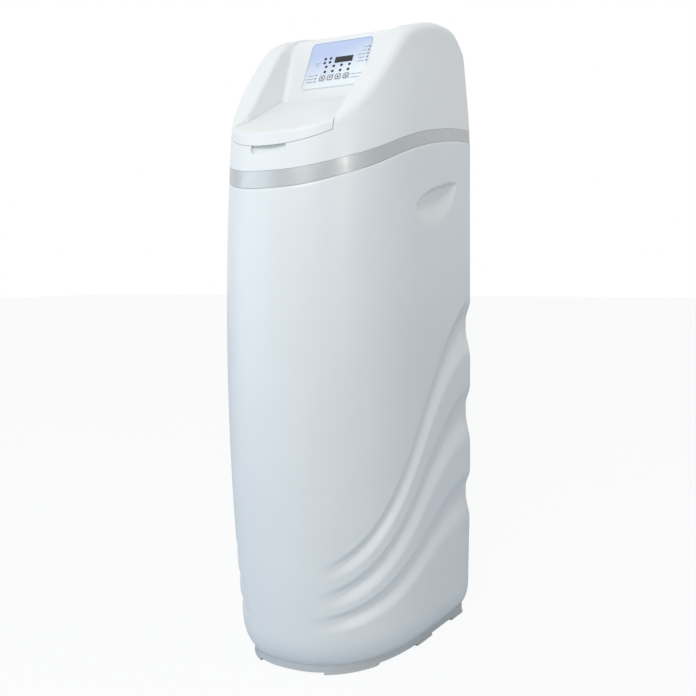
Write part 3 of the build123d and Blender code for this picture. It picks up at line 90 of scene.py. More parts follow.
# Materials
class Graph:
    """Lays out one material's nodes with short calls."""

    def __init__(self, name: str) -> None:
        """Starts an empty material whose patterns read object coordinates.

        Args:
            name: The material's name.
        """
        self.material = bpy.data.materials.new(name)
        self.material.use_nodes = True
        self.tree = self.material.node_tree
        self.tree.nodes.clear()
        self.place = self.add("ShaderNodeTexCoord").outputs["Object"]

    def add(self, kind: str, values: dict | None = None, **settings: object) -> bpy.types.Node:
        """Adds a node, sets its properties and fills or links its inputs.

        Args:
            kind: Blender's name of the node.
            values: Input name or number to a value or to the socket that feeds it.
            settings: Properties of the node.

        Returns:
            The new node.
        """
        node = self.tree.nodes.new(kind)
        for key, value in settings.items():
            setattr(node, key, value)
        for key, value in (values or {}).items():
            if isinstance(value, Socket):
                self.tree.links.new(value, node.inputs[key])
            else:
                node.inputs[key].default_value = value
        return node

    def noise(self, size: float, detail: float = 2, place: Socket | None = None) -> Socket:
        """Returns noise from 0 to 1 whose lumps are about this many metres wide."""
        values = {"Vector": place or self.place, "Scale": 1 / size, "Detail": detail}
        return self.add("ShaderNodeTexNoise", values).outputs["Fac"]

    def maths(self, operation: str, first: object, second: object = 0.0) -> Socket:
        """Returns the result of one sum on two numbers or sockets."""
        return self.add("ShaderNodeMath", {0: first, 1: second}, operation=operation).outputs[0]

    def spread(self, factor: Socket, low: float, high: float,
               from_low: float = 0.0, from_high: float = 1.0) -> Socket:
        """Returns a factor carried from one range to another, held within it."""
        values = {"Value": factor, "From Min": from_low, "From Max": from_high, "To Min": low, "To Max": high}
        return self.add("ShaderNodeMapRange", values).outputs["Result"]

    def blend(self, factor: object, first: object, second: object) -> Socket:
        """Returns a colour between two colours or sockets."""
        values = {0: factor}
        for key, colour in ((6, first), (7, second)):
            values[key] = colour if isinstance(colour, Socket) else (*colour, 1)
        return self.add("ShaderNodeMix", values, data_type="RGBA").outputs[2]

    def bump(self, height: Socket, depth: float,
             normal: Socket | None = None) -> Socket:
        """Returns a normal bent by a height of this many metres."""
        values = {"Height": height, "Distance": depth, "Strength": 1.0}
        if normal:
            values["Normal"] = normal
        return self.add("ShaderNodeBump", values).outputs["Normal"]

    def finish(self, **inputs: object) -> bpy.types.Material:
        """Adds the shader and the output.

        Args:
            inputs: The shader's inputs, with underscores for the spaces in their names.

        Returns:
            The finished material.
        """
        values = {}
        for key, value in inputs.items():
            is_colour = isinstance(value, tuple)
            values[key.replace("_", " ")] = (*value, 1) if is_colour else value
        shader = self.add("ShaderNodeBsdfPrincipled", values)
        self.add("ShaderNodeOutputMaterial", {"Surface": shader.outputs[0]})
        return self.material


@dataclass(frozen=True)
class Moulded:
    """Moulded plastic: a tone that wanders, a fine grain, long ripples of the wall and dust in the pores."""

    name: str
    colour: Colour
    roughness: float = 0.36
    roughness_swing: float = 0.05
    drift: float = 0.025
    drift_size: float = 0.12
    grain_size: float = 0.0009
    grain_depth: float = 0.00002
    ripple_size: float = 0.07
    ripple_depth: float = 0.0002
    dust: float = 0.03
    coat: float = 0.0

    def material(self) -> bpy.types.Material:
        """Makes the plastic's material."""
        graph = Graph(self.name)
        slow = graph.noise(self.drift_size)
        fine = graph.noise(self.grain_size, 3)
        pores = graph.spread(graph.noise(self.grain_size * 4, 4), 0, self.dust, 0.6, 0.8)
        pale = shaded(self.colour, 1 + self.drift)
        deep = shaded(self.colour, 1 - self.drift)
        tone = graph.blend(slow, deep, pale)
        tone = graph.blend(pores, tone, shaded(self.colour, 0.35))
        swing = graph.spread(graph.noise(self.drift_size / 3, 3), self.roughness - self.roughness_swing,
                             self.roughness + self.roughness_swing, 0.3, 0.7)
        normal = graph.bump(graph.noise(self.ripple_size, 1), self.ripple_depth)
        normal = graph.bump(fine, self.grain_depth, normal)
        return graph.finish(Base_Color=tone, Roughness=swing, Normal=normal, Coat_Weight=self.coat,
                            Coat_Roughness=0.2)


@dataclass(frozen=True)
class Sprayed:
    """Metallic paint in a satin lacquer: its flakes painted paler or darker one by one, a painted glint that
    stands in for their many tilts.
    """

    name: str
    colour: Colour
    roughness: float = 0.34
    metal: float = 0.75
    flake_size: float = 0.00035
    flake_depth: float = 0.000012

    def material(self) -> bpy.types.Material:
        """Makes the paint's material."""
        graph = Graph(self.name)
        flakes = graph.add("ShaderNodeTexVoronoi", {"Vector": graph.place, "Scale": 1 / self.flake_size})
        # Painted glint: each flake's cell picks a tone between darker and paler, as though tilted to or from
        # the light; the same value lifts the flakes' small bump.
        flake_glint_and_tilt = graph.spread(flakes.outputs["Color"], 0, 1)
        pale = shaded(self.colour, 1.12)
        deep = shaded(self.colour, 0.86)
        tone = graph.blend(flake_glint_and_tilt, deep, pale)
        tone = graph.blend(graph.spread(graph.noise(0.05), 0, 0.25), tone, pale)
        swing = graph.spread(graph.noise(0.02, 3), self.roughness - 0.04, self.roughness + 0.06, 0.3, 0.7)
        normal = graph.bump(graph.noise(0.06, 1), 0.00025)
        normal = graph.bump(flake_glint_and_tilt, self.flake_depth, normal)
        return graph.finish(Base_Color=tone, Roughness=swing, Metallic=self.metal, Normal=normal,
                            Coat_Weight=0.4, Coat_Roughness=0.15)


@dataclass(frozen=True)
class Metal:
    """Bare metal with fine drawn lines along one axis and a slow stain."""

    name: str
    colour: Colour
    roughness: float = 0.3
    line_size: float = 0.0004
    line_stretch: tuple[float, float, float] = (1.0, 1.0, 0.04)

    def material(self) -> bpy.types.Material:
        """Makes the metal's material."""
        graph = Graph(self.name)
        drawn = graph.add("ShaderNodeMapping", {"Vector": graph.place, "Scale": self.line_stretch}).outputs[0]
        lines = graph.noise(self.line_size, 3, drawn)
        tone = graph.blend(graph.noise(0.01, 3), shaded(self.colour, 0.82), self.colour)
        swing = graph.spread(lines, self.roughness - 0.08, self.roughness + 0.12, 0.3, 0.7)
        return graph.finish(Base_Color=tone, Roughness=swing, Metallic=1.0,
                            Normal=graph.bump(lines, 0.00001))


@dataclass(frozen=True)
class Wound:
    """Glass fibre tank: crossing rovings under a thin resin coat."""

    name: str
    colour: Colour
    pitch: float = 0.012
    angle: float = 35.0
    tank_y: float = 0.09147

    def material(self) -> bpy.types.Material:
        """Makes the tank's material: two helices of bands, worked out from the turn about the tank's axis."""
        graph = Graph(self.name)
        split = graph.add("ShaderNodeSeparateXYZ", {0: graph.place})
        across = graph.maths("SUBTRACT", split.outputs[1], self.tank_y)
        turn = graph.maths("ARCTAN2", across, split.outputs[0])
        height = graph.maths("DIVIDE", split.outputs[2], self.pitch)
        bands = []
        for way in (-1, 1):
            phase = graph.maths("ADD", height, graph.maths("MULTIPLY", turn, way * self.angle / pi))
            bands.append(graph.maths("SINE", graph.maths("MULTIPLY", phase, 2 * pi)))
        weave = graph.spread(graph.maths("MAXIMUM", bands[0], bands[1]), 0, 1, -1, 1)
        strands = graph.noise(0.0015, 4)
        relief = graph.maths("ADD", weave, graph.maths("MULTIPLY", strands, 0.4))
        tone = graph.blend(weave, shaded(self.colour, 0.55), self.colour)
        tone = graph.blend(graph.spread(strands, 0, 0.35, 0.4, 0.8), tone, shaded(self.colour, 1.6))
        swing = graph.spread(strands, 0.22, 0.4, 0.3, 0.7)
        return graph.finish(Base_Color=tone, Roughness=swing, Normal=graph.bump(relief, 0.0003),
                            Coat_Weight=0.5, Coat_Roughness=0.18)


@dataclass(frozen=True)
class Glassy:
    """Clear or tinted plastic that light passes through, with moulding haze."""

    name: str
    colour: Colour
    passing: float = 0.8
    roughness: float = 0.12

    def material(self) -> bpy.types.Material:
        """Makes the clear plastic's material."""
        graph = Graph(self.name)
        haze = graph.noise(0.004, 3)
        tone = graph.blend(haze, shaded(self.colour, 0.9), self.colour)
        swing = graph.spread(haze, self.roughness * 0.6, self.roughness * 1.5, 0.3, 0.7)
        return graph.finish(Base_Color=tone, Roughness=swing, Transmission_Weight=self.passing, IOR=1.49,
                            Normal=graph.bump(graph.noise(0.01, 1), 0.00005))


@dataclass(frozen=True)
class Beads:
    """A bed of small round beads."""

    name: str
    colour: Colour
    bead: float = 0.0008

    def material(self) -> bpy.types.Material:
        """Makes the beads' material: one cell of colour and one dome of height for each bead."""
        graph = Graph(self.name)
        cells = graph.add("ShaderNodeTexVoronoi", {"Vector": graph.place, "Scale": 1 / self.bead})
        shade = graph.spread(cells.outputs["Color"], 0, 1)
        tone = graph.blend(shade, shaded(self.colour, 0.6), shaded(self.colour, 1.25))
        dome = graph.maths("SUBTRACT", 1.0, cells.outputs["Distance"])
        return graph.finish(Base_Color=tone, Roughness=graph.spread(shade, 0.15, 0.35),
                            Normal=graph.bump(dome, self.bead / 3))


@dataclass(frozen=True)
class Board:
    """Circuit board: solder mask over copper tracks, with rows of tinned pads."""

    name: str
    colour: Colour
    pitch: float = 0.0025

    def material(self) -> bpy.types.Material:
        """Makes the board's material: tracks are the edges of square cells, pads their middles."""
        graph = Graph(self.name)
        values = {"Vector": graph.place, "Scale": 1 / (3 * self.pitch)}
        cells = graph.add("ShaderNodeTexVoronoi", values, distance="CHEBYCHEV", feature="F1")
        other = graph.add("ShaderNodeTexVoronoi", values, distance="CHEBYCHEV", feature="F2")
        gap = graph.maths("SUBTRACT", other.outputs["Distance"], cells.outputs["Distance"])
        track = graph.spread(gap, 1, 0, 0.04, 0.09)
        pad = graph.spread(cells.outputs["Distance"], 1, 0, 0.10, 0.12)
        tone = graph.blend(track, self.colour, tuple(min(1, c * 1.9 + 0.01) for c in self.colour))
        tone = graph.blend(pad, tone, linear(200, 196, 188))
        relief = graph.maths("ADD", track, pad)
        return graph.finish(Base_Color=tone, Roughness=graph.spread(graph.noise(0.004), 0.3, 0.45),
                            Metallic=graph.maths("MULTIPLY", pad, 0.9), Normal=graph.bump(relief, 0.00008))


@dataclass(frozen=True)
class PrintedFilm:
    """Printed polyester film: a lavender field that fades towards its lower right, with a fine matt grain."""

    name: str
    upper: Colour
    lower: Colour
    low_z: float
    high_z: float
    half_width: float
    slant: float = 0.34

    def material(self) -> bpy.types.Material:
        """Makes the film's material: the field's tone follows the height on the panel less a share of x."""
        graph = Graph(self.name)
        place = graph.add("ShaderNodeSeparateXYZ", {0: graph.place})
        rise = graph.spread(place.outputs[2], 0, 1, self.low_z, self.high_z)
        side = graph.spread(place.outputs[0], 0, self.slant, -self.half_width / 4, self.half_width)
        wander = graph.maths("MULTIPLY", graph.maths("SUBTRACT", graph.noise(0.03, 2), 0.5), 0.15)
        share = graph.maths("ADD", graph.maths("SUBTRACT", rise, side), wander)
        tone = graph.blend(graph.spread(share, 0, 1, 0.05, 0.7), self.lower, self.upper)
        grain = graph.noise(0.0003, 2)
        return graph.finish(Base_Color=tone, Roughness=graph.spread(grain, 0.26, 0.4, 0.3, 0.7),
                            Normal=graph.bump(grain, 0.000008), Coat_Weight=0.25, Coat_Roughness=0.12)


SHELL = Moulded("shell_white", linear(226, 230, 231))
HOOD = Moulded("hood_white", linear(231, 234, 234), roughness=0.38, ripple_depth=0.0001)
PLINTH = Moulded("plinth_white", linear(192, 197, 198), roughness=0.5)
PAD = Moulded("pad_rubber", linear(196, 199, 198), roughness=0.7, grain_depth=0.00005)
TRIM = Sprayed("trim_silver", linear(180, 184, 185), roughness=0.4, metal=0.55)
KEY = Moulded("key_cap", linear(222, 226, 232), roughness=0.42, ripple_depth=0.00002, grain_size=0.0004)
SMOKED = Moulded("window_smoked", linear(10, 12, 20), roughness=0.16, roughness_swing=0.03,
                 grain_depth=0.000002, ripple_depth=0.00001, dust=0.01, coat=0.1)
LENS = Glassy("light_lens", linear(236, 226, 200), passing=0.6)
BLACK = Moulded("black_plastic", linear(30, 31, 33), roughness=0.45, dust=0.06)
VALVE = Moulded("valve_black", linear(24, 25, 27), roughness=0.5, grain_depth=0.00004, dust=0.08)
BOOT = Moulded("boot_black", linear(26, 26, 27), roughness=0.55, grain_depth=0.00004)
RUBBER = Moulded("seal_rubber", linear(20, 20, 20), roughness=0.75, grain_depth=0.00005)
PIPE = Moulded("pipe_white", linear(222, 222, 216), roughness=0.38)
GEAR = Moulded("gear_white", linear(228, 226, 214), roughness=0.42, ripple_depth=0.00003)
CERAMIC = Moulded("disc_ceramic", linear(214, 209, 196), roughness=0.18, ripple_depth=0.00001, dust=0.05)
DARK_CERAMIC = Moulded("disc_dark", linear(58, 57, 56), roughness=0.2, ripple_depth=0.00001)
FOAM = Moulded("float_foam", linear(224, 118, 44), roughness=0.7, grain_size=0.0015, grain_depth=0.00012)
CLIP = Moulded("clip_red", linear(168, 38, 32), roughness=0.4)
TUBE = Glassy("line_tube", linear(226, 232, 236), passing=0.45, roughness=0.25)
CLEAR = Glassy("check_clear", linear(228, 232, 232), passing=0.6)
STEEL = Metal("screw_steel", linear(186, 186, 184))
CAN = Metal("motor_can", linear(176, 178, 180), roughness=0.38)
TANK = Wound("tank_blue", linear(38, 78, 132))
RESIN = Beads("resin_beads", linear(160, 96, 36))
CIRCUIT = Board("circuit_green", linear(18, 74, 44))
MARK = Moulded("print_black", linear(7, 7, 10), roughness=0.45, ripple_depth=0.00001, dust=0.02)
FAINT = Moulded("print_grey", linear(84, 92, 112), roughness=0.35, ripple_depth=0.00001, dust=0.02)
BORDER = Moulded("print_border", linear(118, 128, 152), roughness=0.35, ripple_depth=0.00001, dust=0.02)
FRESH = Moulded("module_white", linear(214, 216, 214), roughness=0.4)

NODE_FINISHES = {
    "cabinet_shell": SHELL, "hood_shell": HOOD, "salt_lid": HOOD, "base_plinth": PLINTH, "foot_pads": PAD,
    "trim_band": TRIM, "hinge_pins": STEEL, "display_window": SMOKED, "menu_key": KEY, "down_key": KEY,
    "up_key": KEY, "set_key": KEY, "indicator_lights": LENS, "circuit_board": CIRCUIT,
    "display_module": FRESH, "key_switches": BLACK, "board_screws": STEEL, "power_inlet": BLACK,
    "tank_shell": TANK, "tank_boot": BOOT, "resin_bed": RESIN, "riser_tube": PIPE, "lower_distributor": GEAR,
    "upper_distributor": GEAR, "valve_body": VALVE, "neck_seal": RUBBER, "fixed_disc": CERAMIC,
    "moving_disc": DARK_CERAMIC, "drive_gear": GEAR, "motor_pinion": GEAR, "gear_plate": VALVE,
    "drive_motor": CAN, "drive_cover": BLACK, "valve_screws": STEEL, "injector_cap": VALVE,
    "drain_fitting": PIPE, "inlet_adapter": VALVE, "outlet_adapter": VALVE, "adapter_clips": CLIP,
    "meter_cage": GEAR, "meter_impeller": FRESH, "meter_sensor": BLACK, "brine_well": PIPE,
    "brine_well_cap": PIPE, "brine_valve": PIPE, "pickup_tube": PIPE, "air_check": CLEAR,
    "safety_float": FOAM, "brine_line": TUBE, "overflow_fitting": PIPE,
}


class Finish(Protocol):
    """What every finish has: its material's name, and a way to make the material."""

    name: str

    def material(self) -> bpy.types.Material:
        """Makes the material."""


class Workshop:
    """Keeps one material for each finish, and dresses and places pieces."""

    def __init__(self) -> None:
        """Starts with no material made."""
        self.made: dict[str, bpy.types.Material] = {}

    def dress(self, piece: bpy.types.Object, finish: Finish) -> None:
        """Gives a piece its finish, as its only material, and reports it.

        Args:
            piece: The mesh object.
            finish: Its finish.
        """
        if finish.name not in self.made:
            self.made[finish.name] = finish.material()
        piece.data.materials.clear()
        piece.data.materials.append(self.made[finish.name])
        log.info("%s: %s, %d faces", piece.name, finish.name, len(piece.data.polygons))

    def place(self, piece: bpy.types.Object, finish: Finish, body: str, slot: str) -> None:
        """Dresses a new piece and attaches it to the body that carries it.

        Args:
            piece: The mesh object.
            finish: Its finish.
            body: The body's name.
            slot: Not used.
        """
        self.dress(piece, finish)
        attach(piece, body)


# Mesh making
def outward(points: np.ndarray, faces: list[np.ndarray]) -> list[np.ndarray]:
    """Turns a closed mesh's faces so that they point outwards, by the sign of the volume that they enclose.

    Args:
        points: Vertices, one row each.
        faces: Arrays of vertex numbers, three or four to a row.

    Returns:
        The same faces, each reversed if the volume was negative.
    """
    volume = 0.0
    for block in faces:
        for last in range(2, block.shape[1]):
            a, b, c = points[block[:, 0]], points[block[:, last - 1]], points[block[:, last]]
            volume += float(np.einsum("ij,ij->", a, np.cross(b, c)))
    return faces if volume > 0 else [block[:, ::-1] for block in faces]


def mesh_piece(name: str, points: np.ndarray, faces: list[np.ndarray],
               crease: float = 40.0) -> bpy.types.Object:
    """Puts whole arrays of points and faces into a new closed mesh object.

    Args:
        name: The piece's name.
        points: Vertices, one row each.
        faces: Arrays of vertex numbers, three or four to a row.
        crease: Angle in degrees above which an edge is shaded sharp.

    Returns:
        The object, at the origin, with its place in its mesh.
    """
    faces = outward(points, faces)
    corners = np.concatenate([block.ravel() for block in faces]).astype(np.int32)
    counts = np.concatenate([np.full(len(block), block.shape[1]) for block in faces])
    mesh = bpy.data.meshes.new(name)
    mesh.vertices.add(len(points))
    mesh.vertices.foreach_set("co", points.astype(np.float32).ravel())
    mesh.loops.add(len(corners))
    mesh.loops.foreach_set("vertex_index", corners)
    mesh.polygons.add(len(counts))
    mesh.polygons.foreach_set("loop_start", (np.cumsum(counts) - counts).astype(np.int32))
    mesh.polygons.foreach_set("use_smooth", np.ones(len(counts), bool))
    mesh.update(calc_edges=True)
    mesh.validate()
    mesh.set_sharp_from_angle(angle=radians(crease))
    piece = bpy.data.objects.new(name, mesh)
    bpy.context.scene.collection.objects.link(piece)
    return piece


def ring_quads(rows: int, columns: int, closed_rows: bool = False) -> np.ndarray:
    """Numbers the quads between successive rings of points.

    Args:
        rows: How many rings.
        columns: Points on each ring, which closes on itself.
        closed_rows: Whether the last ring joins the first.

    Returns:
        Vertex numbers, four to a row.
    """
    below = np.arange(rows if closed_rows else rows - 1)[:, None]
    above = (below + 1) % rows
    here = np.arange(columns)[None, :]
    there = (here + 1) % columns
    quads = [below * columns + here, below * columns + there, above * columns + there, above * columns + here]
    return np.stack(quads, axis=-1).reshape(-1, 4)


def capped(rings: np.ndarray) -> tuple[np.ndarray, list[np.ndarray]]:
    """Closes a stack of rings at both ends with a middle point.

    Args:
        rings: Points, shaped rows, columns, 3.

    Returns:
        All points, and the quads and triangles that close them.
    """
    rows, columns = rings.shape[:2]
    points = np.concatenate([rings.reshape(-1, 3), rings[0].mean(0)[None], rings[-1].mean(0)[None]])
    here = np.arange(columns)
    there = (here + 1) % columns
    top = (rows - 1) * columns
    first = np.stack([there, here, np.full(columns, rows * columns)], axis=-1)
    last = np.stack([top + here, top + there, np.full(columns, rows * columns + 1)], axis=-1)
    return points, [ring_quads(rows, columns), np.concatenate([first, last])]


class Batch:
    """Gathers many closed shapes into one mesh."""

    def __init__(self) -> None:
        """Starts with nothing gathered."""
        self.points: list[np.ndarray] = []
        self.faces: list[np.ndarray] = []
        self.count = 0

    def add(self, points: np.ndarray, faces: list[np.ndarray]) -> None:
        """Adds one closed shape, turned outwards.

        Args:
            points: Its vertices.
            faces: Its faces, numbered from zero.
        """
        self.faces += [block + self.count for block in outward(points - points.mean(0), faces)]
        self.points.append(points)
        self.count += len(points)

    def piece(self, name: str, crease: float = 40.0) -> bpy.types.Object:
        """Makes the gathered shapes one mesh object."""
        return mesh_piece(name, np.concatenate(self.points), self.faces, crease)


def turned(profile: np.ndarray, columns: int) -> tuple[np.ndarray, list[np.ndarray]]:
    """Turns a profile of place along and radius about an axis: (along, radius cos t, radius sin t).

    Args:
        profile: Place along the axis and radius, one row each.
        columns: Points round the axis.

    Returns:
        Points in the order along, across, up, and the faces that close them.
    """
    turn = 2 * pi * np.arange(columns) / columns
    along, radius = profile[:, 0, None], profile[:, 1, None]
    return capped(np.stack([along + 0 * turn, radius * np.cos(turn), radius * np.sin(turn)], axis=-1))


# Cabinet
def spline_heights(shares: np.ndarray, run: float, low: float, high: float, samples: int) -> np.ndarray:
    """Samples a side-view curve: a natural cubic through its points, over the chord length up to each.

    Args:
        shares: Place along, from the front, and height, both as shares.
        run: Distance in front of the back plane where the first share is zero.
        low: Height at share 0.
        high: Height at share 1.
        samples: How many samples.

    Returns:
        Distance in front of the back plane, rising, and height, one row each.
    """
    knots = np.stack([run * (1 - shares[:, 0]), low + (high - low) * shares[:, 1]], axis=-1)
    chord = np.concatenate([[0], np.cumsum(np.linalg.norm(np.diff(knots, axis=0), axis=1))])
    gap = np.diff(chord)
    count = len(chord)
    system = np.eye(count)
    inner = np.arange(1, count - 1)
    system[inner, inner - 1] = gap[:-1]
    system[inner, inner] = 2 * (gap[:-1] + gap[1:])
    system[inner, inner + 1] = gap[1:]
    slope = np.diff(knots, axis=0) / gap[:, None]
    right = np.zeros_like(knots)
    right[1:-1] = 6 * np.diff(slope, axis=0)
    bend = np.linalg.solve(system, right)
    place = np.linspace(0, chord[-1], samples)
    piece = np.clip(np.searchsorted(chord, place, side="right") - 1, 0, count - 2)
    step = gap[piece][:, None]
    before, after = (place - chord[piece])[:, None], (chord[piece + 1] - place)[:, None]
    curve = (bend[piece] * after ** 3 + bend[piece + 1] * before ** 3) / (6 * step)
    curve += (knots[piece] / step - bend[piece] * step / 6) * after
    curve += (knots[piece + 1] / step - bend[piece + 1] * step / 6) * before
    return curve[::-1]


@dataclass(frozen=True)
class Wave:
    """One groove of the cabinet's side: heights and widths at its rear and its front end."""

    back_z: float
    front_z: float
    back_drop: float
    front_drop: float


@dataclass
class Cabinet:
    """The blown cabinet: its plan, its wavy edge, the grooves and hand recesses, and its skin."""

    wall: float = 0.004
    depth_heights: tuple[float, ...] = (0.040, 0.600, 0.920)
    depths: tuple[float, ...] = (0.452, 0.486, 0.463)
    nose_depth: float = 0.248
    nose_power: float = 2.36
    corner: float = 0.030
    low_z: float = 0.011
    base_round: tuple[float, float] = (0.030, 0.055)
    heel_depth: float = 0.004
    heel_run: float = 0.11
    heel_heights: tuple[float, float] = (0.05, 0.27)
    seam_gap: float = 0.0004
    rim_round: float = 0.0006
    collar_insets: tuple[float, float] = (0.0034, 0.006)
    collar_root: float = 0.014
    collar_rise: float = 0.011
    band_run: float = 0.471
    low_edge: tuple[float, float] = (0.818, 0.924)
    high_edge: tuple[float, float] = (0.845, 0.9465)
    edge_shares: tuple[tuple[float, float], ...] = (
        (-0.07, -0.1), (0, 0), (0.093, 0.158), (0.204, 0.325), (0.35, 0.562),
        (0.552, 0.798), (0.669, 0.887), (0.807, 0.961), (1, 1), (1.07, 1.01))
    waves: tuple[Wave, ...] = (Wave(0.622, 0.196, 0.108, 0.032), Wave(0.458, 0.150, 0.112, 0.034),
                               Wave(0.290, 0.108, 0.096, 0.032))
    wave_reach: float = 0.045
    wave_run: float = 0.412
    wave_depth: float = 0.0085
    wave_full: float = 0.85
    wave_crest: float = 0.34
    wave_floor: float = 0.48
    grip_reach: tuple[float, float] = (0.092, 0.250)
    grip_heights: tuple[float, float] = (0.792, 0.843)
    grip_drop: float = 0.128
    grip_depth: float = 0.015
    grip_crest: float = 0.07
    grip_floor: float = 0.05
    grip_fade: float = 0.5
    grip_swell: float = 0.45
    grip_arch: tuple[float, float] = (1.5, 0.6)
    corner_fade: float = 0.7
    inner_spread: float = 0.012
    floor_rings: tuple[float, float] = (3.0, 1.6)
    nose_columns: int = 140
    side_columns: int = 52
    corner_columns: int = 10
    rear_columns: int = 20
    base_rows: int = 10
    band_rows: tuple[int, ...] = (32, 44, 44, 30, 46, 12)
    inner_rows: tuple[int, ...] = (6, 9, 9, 8, 12, 3)
    band_lean: tuple[float, ...] = (1.6, 1.6, 1.6, 1.0, 1.0, 1.0)
    grip_under_rim: tuple[float, float] = (0.19, 0.062)
    edge_samples: int = 400
    back_y: float = field(init=False)
    half: float = field(init=False)

    def __post_init__(self) -> None:
        """Takes the cabinet's width and back plane from the frame and lays out its columns."""
        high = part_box("trim_band")[1]
        self.back_y, self.half = high.y, high.x
        self.curve = np.polyfit(self.depth_heights, self.depths, 2)
        self.lay_columns()

    def lay_columns(self) -> None:
        """Finds each column's turn, its share of the nose's middle in y, and its outward direction.

        The nose is the curve |x / half|^p + |y / depth|^p = 1, its columns at equal lengths along it. Then
        come the left side, the left rear corner, the back, the right rear corner and the right side.
        """
        fine = np.linspace(0, pi, 4001)
        x = self.half * np.sign(np.cos(fine)) * np.abs(np.cos(fine)) ** (2 / self.nose_power)
        y = self.nose_depth * np.sin(fine) ** (2 / self.nose_power)
        length = np.concatenate([[0], np.cumsum(np.hypot(np.diff(x), np.diff(y)))])
        turn = np.interp(np.linspace(0, length[-1], self.nose_columns + 1), length, fine)
        side = np.arange(1, self.side_columns) / self.side_columns
        bend = pi / 2 * np.arange(self.corner_columns) / self.corner_columns
        rear = np.arange(self.rear_columns) / self.rear_columns
        nose_x = np.sign(np.cos(turn)) * np.abs(np.cos(turn)) ** (2 / self.nose_power)
        nose_y = np.abs(np.sin(turn)) ** (2 / self.nose_power)
        nose_out = np.stack([np.sign(nose_x) * np.abs(nose_x) ** (self.nose_power - 1) / self.half,
                             -nose_y ** (self.nose_power - 1) / self.nose_depth], axis=-1)
        nose_out /= np.linalg.norm(nose_out, axis=1)[:, None]
        corner_y = self.back_y - self.corner
        inner_x = self.half - self.corner
        parts = [
            (self.half * nose_x, -self.nose_depth * nose_y, 1 + 0 * turn, nose_out),
            (-self.half + 0 * side, side * corner_y, 1 - side, self.facing(pi + 0 * side)),
            (-inner_x - self.corner * np.cos(bend), corner_y + self.corner * np.sin(bend), 0 * bend,
             self.facing(pi - bend)),
            (inner_x * (2 * rear - 1), self.back_y + 0 * rear, 0 * rear, self.facing(pi / 2 + 0 * rear)),
            (inner_x + self.corner * np.sin(bend), corner_y + self.corner * np.cos(bend), 0 * bend,
             self.facing(pi / 2 - bend)),
            (self.half + 0 * side, (1 - side) * corner_y, side, self.facing(0 * side)),
        ]
        self.x = np.concatenate([part[0] for part in parts])
        self.y_fixed = np.concatenate([part[1] for part in parts])
        self.y_share = np.concatenate([part[2] for part in parts])
        self.out = np.concatenate([part[3] for part in parts])

    @staticmethod
    def facing(angle: np.ndarray) -> np.ndarray:
        """Returns level unit directions at angles from +X."""
        return np.stack([np.cos(angle), np.sin(angle)], axis=-1)

    def edge(self, heights: tuple[float, float], lift: float, y: np.ndarray) -> np.ndarray:
        """Returns the height of one of the band's edges at each y, lifted by a gap."""
        curve = spline_heights(np.array(self.edge_shares), self.band_run, *heights, self.edge_samples)
        return np.interp(self.back_y - y, curve[:, 0], curve[:, 1]) + lift

    def points(self, z: np.ndarray, inset: np.ndarray | float, carve: bool,
               spread: float = 0.0) -> np.ndarray:
        """Finds the skin's points: the plan at each height, set in, and further at the heel and where carved.

        Args:
            z: Heights, shaped rows by 1 or rows by columns.
            inset: Distance inside the outer plan, of a shape that fits z.
            carve: Whether grooves and recesses count.
            spread: How far above and below the deepest carving is looked for, for the inner wall.

        Returns:
            Points shaped rows, columns, 3.
        """
        centre = self.back_y - np.polyval(self.curve, z) + self.nose_depth
        y = self.y_fixed + self.y_share * centre
        z = np.broadcast_to(z, y.shape)
        low, high = self.heel_heights
        rear = eased((y - self.back_y + self.heel_run) / self.heel_run)
        depth = 0 * y + inset + self.heel_depth * rear * (1 - eased((z - low) / (high - low)))
        if carve:
            heights = (z, z - spread, z + spread, z - spread / 2, z + spread / 2) if spread else (z,)
            depth = depth + np.maximum.reduce([self.carved(y, height) for height in heights])
        return np.stack([self.x - self.out[:, 0] * depth, y - self.out[:, 1] * depth, z], axis=-1)

    def carved(self, y: np.ndarray, z: np.ndarray) -> np.ndarray:
        """Finds how deep the sides are carved at each point.

        A groove's upper edge falls from the rear to the front along a mean of a line and a half cosine. Below
        the edge the side steps in over a short share of the drop, stays in, and eases out again; the depth
        fades at the front by a half cosine. The hand recess does the same below a crescent.

        Args:
            y: Places of the points.
            z: Their heights.

        Returns:
            Depths in metres.
        """
        reach = self.back_y - y
        total = np.zeros_like(y)
        along = (reach - self.wave_reach) / self.wave_run
        fading = np.clip((along - self.wave_full) / (1 - self.wave_full), 0, 1)
        depth = self.wave_depth * (1 + np.cos(pi * fading)) / 2
        for wave in self.waves:
            top = wave.back_z + (wave.front_z - wave.back_z) * self.swing(y)
            drop = np.maximum(wave.back_drop + (wave.front_drop - wave.back_drop) * along, MM)
            fall = (top - z) / drop
            easing_out = eased((fall - self.wave_floor) / (1 - self.wave_floor))
            total = np.maximum(total, depth * eased(fall / self.wave_crest) * (1 - easing_out))
        rear, front = self.grip_reach
        along = np.clip((reach - rear) / (front - rear), 0, 1)
        swell = np.sin(pi * along) ** self.grip_swell
        (low, high), (bend, arch) = self.grip_heights, self.grip_arch
        top = low + (high - low) * (1 - along ** bend) ** arch
        fall = (top - z) / np.maximum(self.grip_drop * swell, MM)
        shape = eased(fall / self.grip_crest) * (1 - eased((fall - self.grip_floor) / self.grip_fade))
        total = np.maximum(total, self.grip_depth * swell * shape)
        at_rear = self.out[:, 1] > 0
        return total * np.where(at_rear, eased(np.abs(self.out[:, 0]) / self.corner_fade), 1)

